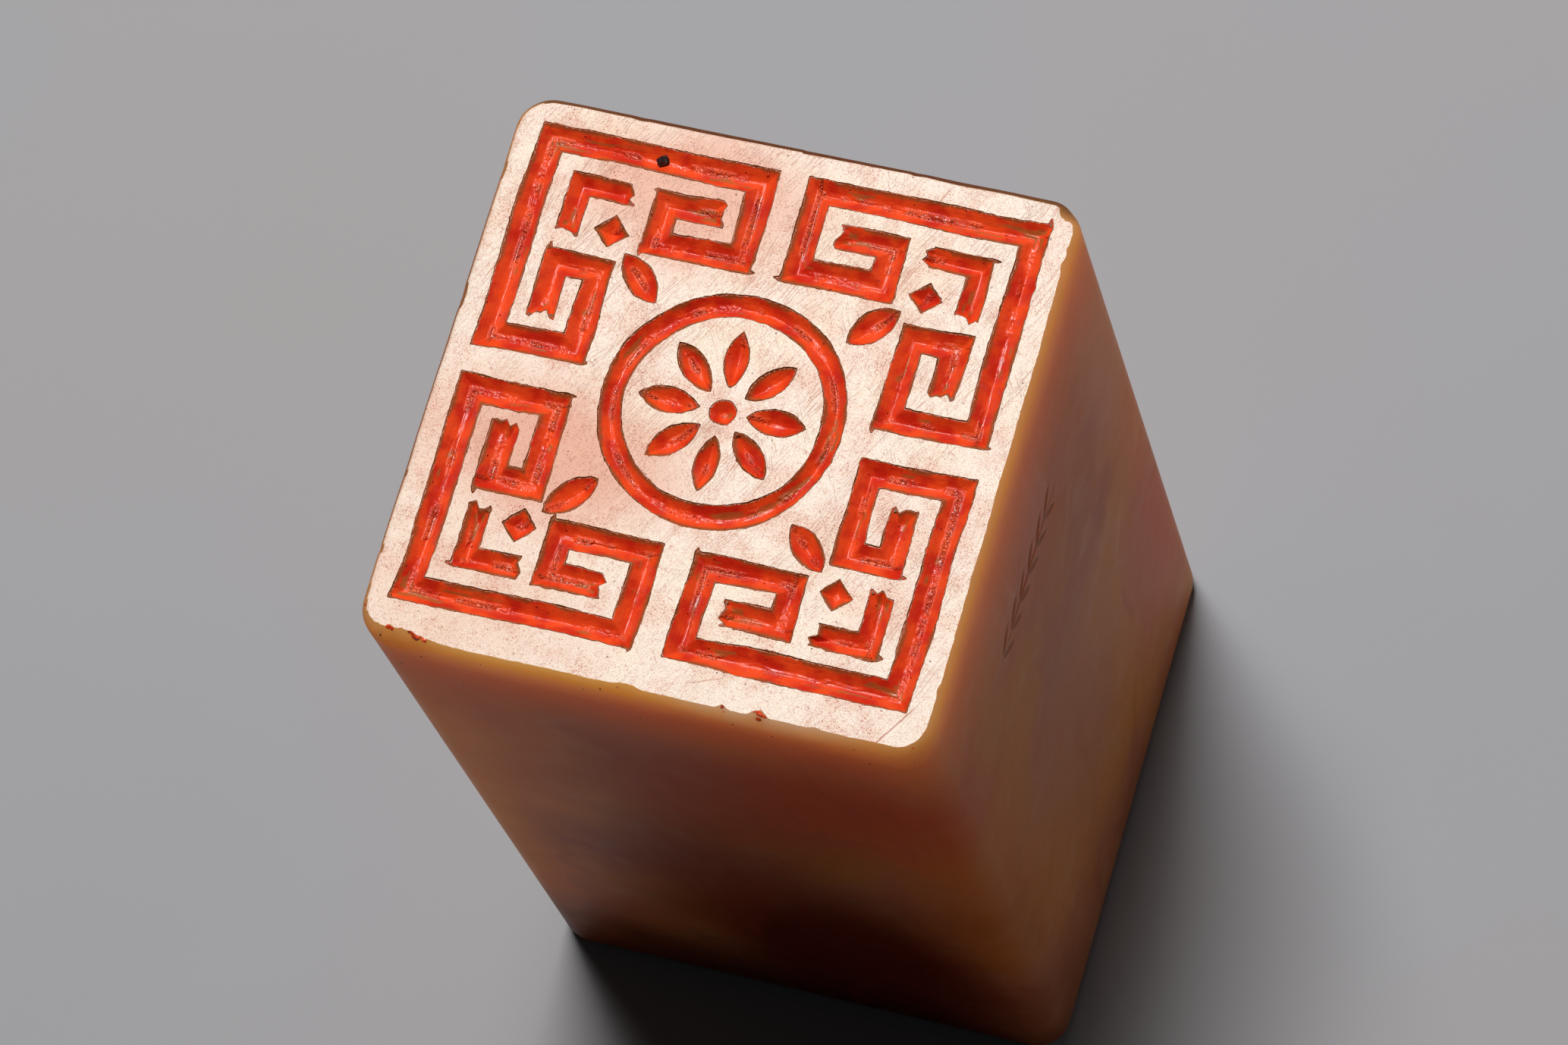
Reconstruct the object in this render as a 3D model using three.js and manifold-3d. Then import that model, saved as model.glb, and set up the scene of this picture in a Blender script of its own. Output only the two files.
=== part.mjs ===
// A square seal stone, standing on its plain end with its carved face up. The face carries a fret in each
// corner and a ringed flower in the middle, cut with a knife, and each cut keeps its own deposit of red
// seal paste. A small leafy spray is scratched into the right side. Millimetres, +Z up, origin at the
// centre of the plain end.

import * as THREE from 'three';
import { mergeVertices } from 'three/addons/utils/BufferGeometryUtils.js';
import Module from 'manifold-3d';

const wasm = await Module();
wasm.setup();

// The stone
const FACE_WIDTH = 28.0;
const FACE_DEPTH = 28.0;
const LENGTH = 49.0;
const EDGE_RADIUS = 1.7;
const FACE_RIM = 0.45;
const END_RIM = 1.0;
const EDGE_STEPS = 6;
const RIM_STEPS = 3;

// The bare stone around the carving
const SIDE_MARGIN = 1.3;
const BACK_MARGIN = 1.3;
const FRONT_MARGIN = 2.0;

// The knife cuts: width of each kind at the face, and the depth and floor that they share
const FRET_STROKE = 1.4;
const ELBOW_STROKE = 1.2;
const RING_STROKE = 1.2;
const SEED_RADIUS = 0.9;
const LEAF_WIDTH = 1.5;
const PETAL_WIDTH = 1.3;
const DOT_RADIUS = 0.6;
const CUT_DEPTH = 0.65;
const CUT_FLOOR = 0.4;

// The bare stone left between the motifs
const MIDDLE_GAP = 1.4;
const RING_GAP = 0.95;
const LEAF_GAP = 0.6;
const PETAL_GAP = 0.6;

// The paste in the cuts
const PASTE_CLEARANCE = 0.05;
const PASTE_RECESS = 0.08;
const PASTE_COAT = 0.14;

// The grain stuck in the paste of one fret
const GRAIN_LENGTH = 0.6;
const GRAIN_BREADTH = 0.5;
const GRAIN_HEIGHT = 0.4;
const GRAIN_RECESS = 0.06;
const GRAIN_FROM_CORNER = 5.5;

// The spray on the right side: a stem along Y with pairs of leaves, in shallow cuts
const SPRAY_LENGTH = 10.0;
const SPRAY_DROP = 9.5;
const SPRAY_SHIFT = -1.3;
const STEM_WIDTH = 0.3;
const SPRIG_LEAF_LENGTH = 1.9;
const SPRIG_LEAF_WIDTH = 0.5;
const SCRATCH_DEPTH = 0.15;
const SCRATCH_FLOOR = 0.08;
const SPRIG_PAIRS = 6;
const SPRIG_ANGLE = 0.7;

// Faces round the curved outlines
const LEAF_STEPS = 6;
const DOT_SIDES = 16;
const RING_SIDES = 64;

// How far a cutter stands above the surface that it cuts
const CUTTER_LIFT = 0.2;

// The fret grid: cells from the outer corner of a quarter to the middle gap, and the paths of its strokes
const FRET_CELLS = 5;
const FRET_PATH_CELLS = [
  [4, 1], [3, 1], [3, 2], [5, 2], [5, 0], [0, 0], [0, 5], [2, 5], [2, 3], [1, 3], [1, 4],
];
const ELBOW_PATH_CELLS = [[1, 2], [1, 1], [2, 1]];
const SEED_CELL = 2;

// The flower's petals, anticlockwise from +X and evenly spaced
const PETALS = ['right', 'back_right', 'back', 'back_left', 'left', 'front_left', 'front', 'front_right'];

const stoneMaterial = new THREE.MeshStandardMaterial({ color: 0xb98a63, roughness: 0.45, metalness: 0 });
const pasteMaterial = new THREE.MeshStandardMaterial({ color: 0xd54528, roughness: 0.35, metalness: 0 });
const gritMaterial = new THREE.MeshStandardMaterial({ color: 0x231f20, roughness: 0.5, metalness: 0 });

// Closed meshes and solids

function toSolid(geometry) {
  const plain = geometry.clone();
  plain.deleteAttribute('normal');
  plain.deleteAttribute('uv');
  const merged = mergeVertices(plain);
  return new wasm.Manifold(new wasm.Mesh({
    numProp: 3,
    vertProperties: new Float32Array(merged.attributes.position.array),
    triVerts: new Uint32Array(merged.index.array),
  }));
}

function toGeometry(solid) {
  const mesh = solid.getMesh();
  const geometry = new THREE.BufferGeometry();
  geometry.setAttribute('position', new THREE.BufferAttribute(new Float32Array(mesh.vertProperties), 3));
  geometry.setIndex(new THREE.BufferAttribute(new Uint32Array(mesh.triVerts), 1));
  geometry.computeVertexNormals();
  return geometry;
}

function joined(solids) {
  return solids.reduce((whole, solid) => whole.add(solid));
}

// A solid through outlines of equal point counts, from the lowest level to the highest. Each outline runs
// anticlockwise as seen from above, and the first and last are closed with a flat cap.
function loft(levels) {
  const count = levels[0].outline.length;
  const top = (levels.length - 1) * count;
  const positions = levels.flatMap(({ z, outline }) => outline.flatMap((point) => [point.x, point.y, z]));
  const index = [];
  for (let low = 0; low < top; low += count) {
    const high = low + count;
    for (let i = 0; i < count; i += 1) {
      const next = (i + 1) % count;
      index.push(low + i, low + next, high + next, low + i, high + next, high + i);
    }
  }
  THREE.ShapeUtils.triangulateShape(levels[0].outline, [])
    .forEach(([i, j, k]) => index.push(i, k, j));
  THREE.ShapeUtils.triangulateShape(levels[levels.length - 1].outline, [])
    .forEach(([i, j, k]) => index.push(top + i, top + j, top + k));
  const geometry = new THREE.BufferGeometry();
  geometry.setAttribute('position', new THREE.Float32BufferAttribute(positions, 3));
  geometry.setIndex(index);
  return toSolid(geometry);
}

// Outlines, each drawn in by an inset

function roundedRectangle(width, depth, radius, inset) {
  const corner = radius - inset;
  const x = width / 2 - radius;
  const y = depth / 2 - radius;
  const quarter = Math.PI / 2;
  const points = [];
  [[x, y], [-x, y], [-x, -y], [x, -y]].forEach(([cx, cy], turn) => {
    for (let i = 0; i <= EDGE_STEPS; i += 1) {
      const angle = quarter * (turn + i / EDGE_STEPS);
      points.push(new THREE.Vector2(cx + corner * Math.cos(angle), cy + corner * Math.sin(angle)));
    }
  });
  return points;
}

// The outline of a stroke of one width along a path, with mitred corners and square ends
function strokeOutline(path, stroke, inset) {
  const reach = stroke / 2 - inset;
  const along = path.slice(1).map((point, i) => point.clone().sub(path[i]).normalize());
  const across = along.map(({ x, y }) => new THREE.Vector2(-y, x));
  const last = path.length - 1;
  const side = path.map((point, i) => {
    const before = across[Math.max(i - 1, 0)];
    const after = across[Math.min(i, last - 1)];
    return before.clone().add(after).divideScalar(1 + before.dot(after));
  });
  const ends = path.map((point, i) => {
    const outward = new THREE.Vector2();
    if (i === 0) outward.copy(along[0]).negate();
    if (i === last) outward.copy(along[last - 1]);
    return point.clone().addScaledVector(outward, reach);
  });
  const left = ends.map((point, i) => point.clone().addScaledVector(side[i], reach));
  const right = ends.map((point, i) => point.clone().addScaledVector(side[i], -reach));
  const outline = [...right, ...left.reverse()];
  return THREE.ShapeUtils.isClockWise(outline) ? outline.reverse() : outline;
}

function regularOutline(centre, radius, sides, inset) {
  const reach = radius - inset / Math.cos(Math.PI / sides);
  return Array.from({ length: sides }, (_, i) => {
    const angle = (2 * Math.PI * i) / sides;
    return new THREE.Vector2(centre.x + reach * Math.cos(angle), centre.y + reach * Math.sin(angle));
  });
}

// A pointed leaf between two equal arcs, on the line from base to tip
function leafOutline(base, tip, width, inset) {
  const halfLength = base.distanceTo(tip) / 2;
  const radius = (halfLength ** 2 + (width / 2) ** 2) / width;
  const arcCentre = radius - width / 2;
  const reach = radius - inset;
  const sweep = Math.acos(arcCentre / reach);
  const middle = base.clone().add(tip).multiplyScalar(0.5);
  const turn = tip.clone().sub(base).angle();
  const points = [];
  [1, -1].forEach((side) => {
    for (let i = 0; i < LEAF_STEPS; i += 1) {
      const angle = sweep * (1 - (2 * i) / LEAF_STEPS);
      const along = side * reach * Math.sin(angle);
      const across = side * (reach * Math.cos(angle) - arcCentre);
      points.push(new THREE.Vector2(along, across).rotateAround(new THREE.Vector2(), turn).add(middle));
    }
  });
  return points;
}

// A sloped shape's walls lean in from the stroke's width at the surface to the floor of the cut. The offset
// draws the whole shape in, square to its walls.
function slopedShape({ stroke, depth, floor }, top, bottom, offset) {
  const slope = (stroke - floor) / 2 / depth;
  const lean = Math.hypot(1, slope);
  return { top, bottom, insetAt: (z) => -z * slope + offset * lean };
}

// A cut, the paste that lines it and the channel left open down the paste are the same sloped shape, drawn
// in by a little more each time.
function nestedShapes(stroke) {
  const section = { stroke, depth: CUT_DEPTH, floor: CUT_FLOOR };
  const coatFloor = CUT_DEPTH - PASTE_CLEARANCE;
  const channelFloor = coatFloor - PASTE_COAT;
  return {
    cut: slopedShape(section, CUTTER_LIFT, -CUT_DEPTH, 0),
    paste: slopedShape(section, -PASTE_RECESS, -coatFloor, PASTE_CLEARANCE),
    channel: slopedShape(section, CUTTER_LIFT, -channelFloor, PASTE_CLEARANCE + PASTE_COAT),
  };
}

function slopedSolid({ top, bottom, insetAt }, outlineAt) {
  return loft([bottom, top].map((z) => ({ z, outline: outlineAt(insetAt(z)) })));
}

// The ring's section turned about its centre. The lathe's axis is +Y, so the ring is stood up onto +Z.
function slopedRing({ top, bottom, insetAt }, centre, radius) {
  const half = (z) => RING_STROKE / 2 - insetAt(z);
  const profile = [
    new THREE.Vector2(radius - half(bottom), bottom),
    new THREE.Vector2(radius + half(bottom), bottom),
    new THREE.Vector2(radius + half(top), top),
    new THREE.Vector2(radius - half(top), top),
    new THREE.Vector2(radius - half(bottom), bottom),
  ];
  const geometry = new THREE.LatheGeometry(profile, RING_SIDES);
  geometry.rotateX(Math.PI / 2);
  return toSolid(geometry).translate(centre.x, centre.y, 0);
}

// The layout, about the middle of the carving

const carving = {
  halfWidth: FACE_WIDTH / 2 - SIDE_MARGIN,
  halfDepth: (FACE_DEPTH - BACK_MARGIN - FRONT_MARGIN) / 2,
  shift: (FRONT_MARGIN - BACK_MARGIN) / 2,
};

// The centre line of the fret's outermost stroke, and the pitch of its grid, along X and along Y
const fretEdge = new THREE.Vector2(carving.halfWidth, carving.halfDepth).subScalar(FRET_STROKE / 2);
const fretPitch = fretEdge.clone().subScalar((MIDDLE_GAP + FRET_STROKE) / 2).divideScalar(FRET_CELLS);

function gridPoint(corner, [u, v]) {
  return new THREE.Vector2(
    corner.x * (fretEdge.x - u * fretPitch.x),
    corner.y * (fretEdge.y - v * fretPitch.y),
  );
}

const medallionEdge = Math.min(
  fretEdge.x - SEED_CELL * fretPitch.x,
  fretEdge.y - SEED_CELL * fretPitch.y,
) - FRET_STROKE / 2 - RING_GAP;
const ringRadius = medallionEdge - RING_STROKE / 2;

const corners = [
  { name: 'back_left', x: -1, y: 1 },
  { name: 'back_right', x: 1, y: 1 },
  { name: 'front_left', x: -1, y: -1 },
  { name: 'front_right', x: 1, y: -1 },
];

// Motifs: each gives one of its three nested solids on request

function pathMotif(name, corner, cells, stroke) {
  const path = cells.map((cell) => gridPoint(corner, cell));
  const nested = nestedShapes(stroke);
  return { name, solid: (kind) => slopedSolid(nested[kind], (inset) => strokeOutline(path, stroke, inset)) };
}

function seedMotif(name, corner) {
  const centre = gridPoint(corner, [SEED_CELL, SEED_CELL]);
  const nested = nestedShapes(SEED_RADIUS * Math.SQRT2);
  return {
    name,
    solid: (kind) => slopedSolid(nested[kind], (inset) => regularOutline(centre, SEED_RADIUS, 4, inset)),
  };
}

function leafMotif(name, direction, start, end, width) {
  const base = direction.clone().multiplyScalar(start);
  const tip = direction.clone().multiplyScalar(end);
  const nested = nestedShapes(width);
  return {
    name,
    solid: (kind) => slopedSolid(nested[kind], (inset) => leafOutline(base, tip, width, inset)),
  };
}

function ringMotif(name) {
  const nested = nestedShapes(RING_STROKE);
  return { name, solid: (kind) => slopedRing(nested[kind], new THREE.Vector2(), ringRadius) };
}

function dotMotif(name) {
  const centre = new THREE.Vector2();
  const nested = nestedShapes(2 * DOT_RADIUS);
  return {
    name,
    solid: (kind) => slopedSolid(nested[kind], (inset) => (
      regularOutline(centre, DOT_RADIUS, DOT_SIDES, inset)
    )),
  };
}

function cornerMotifs(corner) {
  const seed = gridPoint(corner, [SEED_CELL, SEED_CELL]);
  const outward = seed.clone().normalize();
  const seedNearSide = seed.length() - SEED_RADIUS / (Math.abs(outward.x) + Math.abs(outward.y));
  const leafStart = medallionEdge + LEAF_GAP;
  const leafEnd = seedNearSide - LEAF_GAP;
  return [
    pathMotif(`fret_${corner.name}`, corner, FRET_PATH_CELLS, FRET_STROKE),
    pathMotif(`elbow_${corner.name}`, corner, ELBOW_PATH_CELLS, ELBOW_STROKE),
    seedMotif(`seed_${corner.name}`, corner),
    leafMotif(`leaf_${corner.name}`, outward, leafStart, leafEnd, LEAF_WIDTH),
  ];
}

function petalMotif(name, i) {
  const angle = (2 * Math.PI * i) / PETALS.length;
  const direction = new THREE.Vector2(Math.cos(angle), Math.sin(angle));
  const start = DOT_RADIUS + PETAL_GAP;
  const end = ringRadius - RING_STROKE / 2 - PETAL_GAP;
  return leafMotif(`petal_${name}`, direction, start, end, PETAL_WIDTH);
}

const motifs = [
  ...corners.flatMap(cornerMotifs),
  ...PETALS.map(petalMotif),
  ringMotif('ring'),
  dotMotif('centre_dot'),
];

// The grain lies in the channel of the back left fret, along its outermost stroke

function grainSolid(growth) {
  const geometry = new THREE.DodecahedronGeometry(1);
  geometry.rotateZ(0.4);
  geometry.scale(
    GRAIN_LENGTH / 2 + growth,
    GRAIN_BREADTH / 2 + growth,
    GRAIN_HEIGHT / 2 + growth,
  );
  const place = gridPoint(corners[0], [0, 0]);
  const height = -GRAIN_RECESS - GRAIN_HEIGHT / 2;
  return toSolid(geometry).translate(place.x + GRAIN_FROM_CORNER, place.y, height);
}

// The spray is drawn flat, with X along its stem, and then stood against the right side: its X runs along
// the stone's Y, its Y along the stone's Z, and its cuts go in from +X.

function scratch(stroke, outlineAt) {
  const section = { stroke, depth: SCRATCH_DEPTH, floor: SCRATCH_FLOOR };
  return slopedSolid(slopedShape(section, CUTTER_LIFT, -SCRATCH_DEPTH, 0), outlineAt);
}

function spraySolid() {
  const end = SPRAY_LENGTH / 2;
  const stem = scratch(STEM_WIDTH, (inset) => (
    leafOutline(new THREE.Vector2(-end, 0), new THREE.Vector2(end, 0), STEM_WIDTH, inset)
  ));
  const leaves = Array.from({ length: SPRIG_PAIRS }, (_, i) => {
    const base = new THREE.Vector2(-end + ((i + 0.5) * SPRAY_LENGTH) / (SPRIG_PAIRS + 1), 0);
    return [SPRIG_ANGLE, -SPRIG_ANGLE].map((angle) => {
      const tip = new THREE.Vector2(SPRIG_LEAF_LENGTH, 0).rotateAround(new THREE.Vector2(), angle).add(base);
      return scratch(SPRIG_LEAF_WIDTH, (inset) => leafOutline(base, tip, SPRIG_LEAF_WIDTH, inset));
    });
  });
  return joined([stem, ...leaves.flat()])
    .rotate([90, 0, 90])
    .translate(FACE_WIDTH / 2, SPRAY_SHIFT, LENGTH - SPRAY_DROP);
}

// The three kinds of piece

function stoneSolid() {
  const quarter = Math.PI / 2;
  const outlineAt = (inset) => roundedRectangle(FACE_WIDTH, FACE_DEPTH, EDGE_RADIUS, inset);
  const rim = (radius, from) => Array.from({ length: RIM_STEPS + 1 }, (_, i) => {
    const angle = (quarter * i) / RIM_STEPS;
    return { rise: radius * (1 - Math.cos(angle)), inset: radius * (1 - Math.sin(angle)), from };
  });
  const end = rim(END_RIM, 0).map(({ rise, inset }) => ({ z: rise, outline: outlineAt(inset) }));
  const face = rim(FACE_RIM, LENGTH)
    .map(({ rise, inset }) => ({ z: LENGTH - rise, outline: outlineAt(inset) }))
    .reverse();
  const block = loft([...end, ...face]);
  const cuts = joined(motifs.map((motif) => motif.solid('cut')));
  return block.subtract(cuts.translate(0, carving.shift, LENGTH)).subtract(spraySolid());
}

function pasteSolid(motif) {
  const deposit = motif.solid('paste').subtract(motif.solid('channel'));
  return motif.name === `fret_${corners[0].name}` ? deposit.subtract(grainSolid(PASTE_CLEARANCE)) : deposit;
}

function namedMesh(name, solid, material) {
  const mesh = new THREE.Mesh(toGeometry(solid), material);
  mesh.name = name;
  return mesh;
}

const seal = new THREE.Group();
seal.name = 'seal';
seal.add(namedMesh('stone_body', stoneSolid(), stoneMaterial));

const face = new THREE.Group();
face.name = 'carved_face';
face.position.set(0, carving.shift, LENGTH);
motifs.forEach((motif) => face.add(namedMesh(`paste_${motif.name}`, pasteSolid(motif), pasteMaterial)));
face.add(namedMesh('grit_grain', grainSolid(0), gritMaterial));
seal.add(face);

export default seal;
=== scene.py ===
"""Dresses the seal stone: its carved and ground face, its waxed sides, the red paste in its cuts, the
grain stuck in one of them, and the pale table that it stands on.

Lengths in this file are millimetres, as a stone carver would give them, and become metres when a mesh is
made. The carving is laid out about the middle of the carved face, with X to the right, Y to the back and
Z up from the face.
"""

import logging
import math
from dataclasses import dataclass, field
from enum import Enum
from typing import Callable, Dict, List, Optional, Sequence, Tuple, Union

import bmesh
import bpy
import numpy as np
from mathutils import Matrix, Vector
from mathutils.geometry import delaunay_2d_cdt


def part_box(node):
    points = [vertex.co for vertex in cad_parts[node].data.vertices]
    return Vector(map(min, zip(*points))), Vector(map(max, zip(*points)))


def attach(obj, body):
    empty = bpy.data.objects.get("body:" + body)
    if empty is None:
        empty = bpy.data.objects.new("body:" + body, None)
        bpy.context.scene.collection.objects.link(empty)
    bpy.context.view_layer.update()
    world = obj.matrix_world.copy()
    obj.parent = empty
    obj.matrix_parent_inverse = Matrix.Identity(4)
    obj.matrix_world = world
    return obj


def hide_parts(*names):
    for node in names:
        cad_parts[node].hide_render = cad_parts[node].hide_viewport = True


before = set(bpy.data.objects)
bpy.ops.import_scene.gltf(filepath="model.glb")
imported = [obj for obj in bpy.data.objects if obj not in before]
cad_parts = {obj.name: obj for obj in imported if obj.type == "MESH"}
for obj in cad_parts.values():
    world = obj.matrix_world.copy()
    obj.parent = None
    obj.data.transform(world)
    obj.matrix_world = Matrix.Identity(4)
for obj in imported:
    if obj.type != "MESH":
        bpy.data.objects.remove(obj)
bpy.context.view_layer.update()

LOG = logging.getLogger("seal")
MM = 0.001
METRE = 1000.0
FACE_DROP = 0.01
"""How far the ground face lies below the top of its CAD box, so that the flecks on it stay inside."""

Array = np.ndarray
Point = Tuple[float, float]
Triple = Tuple[float, float, float]
Rgba = Tuple[float, float, float, float]
Material = bpy.types.Material
Object = bpy.types.Object
Socket = bpy.types.NodeSocket
Value = Union[Socket, float, Sequence[float]]


class Slot(Enum):
    """The material slots of the record."""

    STONE = "stone"
    PASTE = "seal_paste"
    GRIT = "grit"


def srgb(red: int, green: int, blue: int) -> Rgba:
    """Turns a colour of 0 to 255 into the linear values that a shader takes, with a full alpha."""
    shares = [value / 255 for value in (red, green, blue)]
    return (*[s / 12.92 if s <= 0.04045 else ((s + 0.055) / 1.055) ** 2.4 for s in shares], 1.0)


def node_box_mm(node: str) -> Tuple[Array, Array]:
    """Gives a CAD node's lowest and highest corners in millimetres."""
    low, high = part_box(node)
    return np.array(low) * METRE, np.array(high) * METRE


def linked(name: str, data: bpy.types.ID) -> Object:
    """Makes an object of a mesh, lamp or camera and puts it in the scene."""
    made = bpy.data.objects.new(name, data)
    bpy.context.collection.objects.link(made)
    return made


def settled(piece: Object, node: str = "") -> None:
    """Lets a finished piece ride on the stone's body, and logs it with its edges that lack a face.

    Args:
        piece: The piece.
        node: The CAD node whose place it takes, if there is one.
    """
    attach(piece, "root")
    if node:
        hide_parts(node)
    edges = np.empty(len(piece.data.loops), dtype=np.int32)
    piece.data.loops.foreach_get("edge_index", edges)
    open_edges = int((np.bincount(edges) < 2).sum())
    LOG.info("%s: %d faces, %d open edges", piece.name, len(piece.data.polygons), open_edges)


def smoothstep(low: float, high: float, value: Array) -> Array:
    """Rises smoothly from 0 at low to 1 at high."""
    share = np.clip((value - low) / (high - low), 0.0, 1.0)
    return share * share * (3.0 - 2.0 * share)


def direction(start: Point, end: Point) -> Point:
    """Gives the direction of length 1 from one point to another."""
    length = math.dist(start, end)
    return (end[0] - start[0]) / length, (end[1] - start[1]) / length


def along_across(x: Array, y: Array, start: Point, way: Point) -> Tuple[Array, Array]:
    """Gives how far points lie along a direction from its start, and how far to its left."""
    u, v = x - start[0], y - start[1]
    return u * way[0] + v * way[1], -u * way[1] + v * way[0]


@dataclass(frozen=True)
class Noise:
    """Repeatable noise over a plane, from 0 to 1.

    Attributes:
        cell: Size of a cell in millimetres.
        seed: Which pattern it is.
        angular: True for straight facets between the lattice points, which gives broken edges.
    """

    cell: float
    seed: int
    angular: bool = False

    def lattice(self, ix: Array, iy: Array) -> Array:
        """Gives the random value of each whole-number lattice point."""
        mixed = (ix * 374761393 + iy * 668265263 + self.seed * 97463477) & 0xFFFFFFFF
        mixed = ((mixed ^ (mixed >> 13)) * 1274126177) & 0xFFFFFFFF
        return ((mixed ^ (mixed >> 16)) & 0xFFFFFF) / float(0xFFFFFF)

    def __call__(self, x: Array, y: Union[Array, float] = 0.0) -> Array:
        """Samples the noise.

        Args:
            x: First coordinates in millimetres.
            y: Second coordinates in millimetres.

        Returns:
            Values from 0 to 1.
        """
        gx, gy = np.asarray(x) / self.cell, np.asarray(y) / self.cell
        ix, iy = np.floor(gx).astype(np.int64), np.floor(gy).astype(np.int64)
        fx, fy = gx - ix, gy - iy
        if not self.angular:
            fx, fy = fx * fx * (3 - 2 * fx), fy * fy * (3 - 2 * fy)
        low = self.lattice(ix, iy) * (1 - fx) + self.lattice(ix + 1, iy) * fx
        high = self.lattice(ix, iy + 1) * (1 - fx) + self.lattice(ix + 1, iy + 1) * fx
        return low * (1 - fy) + high * fy

    def signed(self, x: Array, y: Union[Array, float] = 0.0) -> Array:
        """Samples the noise from -1 to 1."""
        return self(x, y) * 2.0 - 1.0


@dataclass
class MeshData:
    """Points, triangles and named point values of a mesh that is being made, in millimetres."""

    points: Array
    faces: Array
    values: Dict[str, Array] = field(default_factory=dict)

    @staticmethod
    def joined(parts: Sequence["MeshData"]) -> "MeshData":
        """Puts several meshes into one, which keeps the values that they share."""
        starts = np.cumsum([0] + [len(part.points) for part in parts[:-1]])
        names = set.intersection(*[set(part.values) for part in parts])
        return MeshData(
            np.concatenate([part.points for part in parts]),
            np.concatenate([part.faces + start for part, start in zip(parts, starts)]),
            {name: np.concatenate([part.values[name] for part in parts]) for name in sorted(names)},
        )

    def welded(self, tolerance: float = 0.0005) -> "MeshData":
        """Merges points that lie on the same spot, and drops the faces that this closes up."""
        keys = np.round(self.points.astype(np.float32).astype(float) / tolerance).astype(np.int64)
        _, first, where = np.unique(keys, axis=0, return_index=True, return_inverse=True)
        faces = where.reshape(-1)[self.faces]
        a, b, c = faces.T
        kept = faces[(a != b) & (b != c) & (c != a)]
        return MeshData(self.points[first], kept, {k: v[first] for k, v in self.values.items()})

    def to_object(self, name: str, material: Material, crease: Optional[float] = None) -> Object:
        """Makes a smooth-shaded Blender object at the origin.

        Args:
            name: The object's name.
            material: The material of every face.
            crease: Edges that turn by more than this many degrees stay sharp. Without it, none does.

        Returns:
            The new object, linked to the scene.
        """
        mesh = bpy.data.meshes.new(name)
        count = len(self.faces)
        mesh.vertices.add(len(self.points))
        mesh.vertices.foreach_set("co", (self.points * MM).astype(np.float32).ravel())
        mesh.loops.add(count * 3)
        mesh.loops.foreach_set("vertex_index", self.faces.astype(np.int32).ravel())
        mesh.polygons.add(count)
        mesh.polygons.foreach_set("loop_start", np.arange(0, count * 3, 3, dtype=np.int32))
        mesh.polygons.foreach_set("use_smooth", np.ones(count, dtype=bool))
        for key, values in self.values.items():
            attribute = mesh.attributes.new(key, "FLOAT", "POINT")
            attribute.data.foreach_set("value", values.astype(np.float32))
        mesh.update(calc_edges=True)
        mesh.validate()
        if crease is not None:
            mesh.set_sharp_from_angle(angle=math.radians(crease))
        mesh.materials.append(material)
        return linked(name, mesh)


class Contours:
    """Lines of equal value across a grid of samples."""

    def __init__(self, xs: Array, ys: Array, samples: Array) -> None:
        """Keeps the grid's positions along X and Y, and the samples, one row for each Y."""
        self.xs, self.ys, self.samples = xs, ys, samples

    def at(self, level: float) -> Tuple[Array, Array]:
        """Traces one level with marching squares.

        Args:
            level: The value to trace.

        Returns:
            The points, and the pairs of points that the line joins.
        """
        grid = self.samples - level
        grid = np.where(grid == 0, 1e-9, grid)
        inside = grid > 0
        across = inside[:, :-1] != inside[:, 1:]
        upward = inside[:-1, :] != inside[1:, :]
        across_id, upward_id = np.full(across.shape, -1), np.full(upward.shape, -1)
        across_id[across] = np.arange(across.sum())
        upward_id[upward] = across.sum() + np.arange(upward.sum())
        row, col = np.nonzero(across)
        share = grid[row, col] / (grid[row, col] - grid[row, col + 1])
        flat = np.c_[self.xs[col] + share * (self.xs[col + 1] - self.xs[col]), self.ys[row]]
        row, col = np.nonzero(upward)
        share = grid[row, col] / (grid[row, col] - grid[row + 1, col])
        tall = np.c_[self.xs[col], self.ys[row] + share * (self.ys[row + 1] - self.ys[row])]
        cell = np.stack([across_id[:-1], upward_id[:, 1:], across_id[1:], upward_id[:, :-1]], -1)
        crossed = (cell >= 0).sum(-1)
        pairs = [np.sort(cell[crossed == 2], axis=1)[:, 2:]]
        for j, i in np.argwhere(crossed == 4):
            bottom, right, top, left = cell[j, i]
            same = (grid[j:j + 2, i:i + 2].mean() > 0) == inside[j, i]
            joins = ((bottom, right), (top, left)) if same else ((bottom, left), (top, right))
            pairs.append(np.array(joins))
        return np.r_[flat, tall], np.concatenate(pairs)


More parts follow.
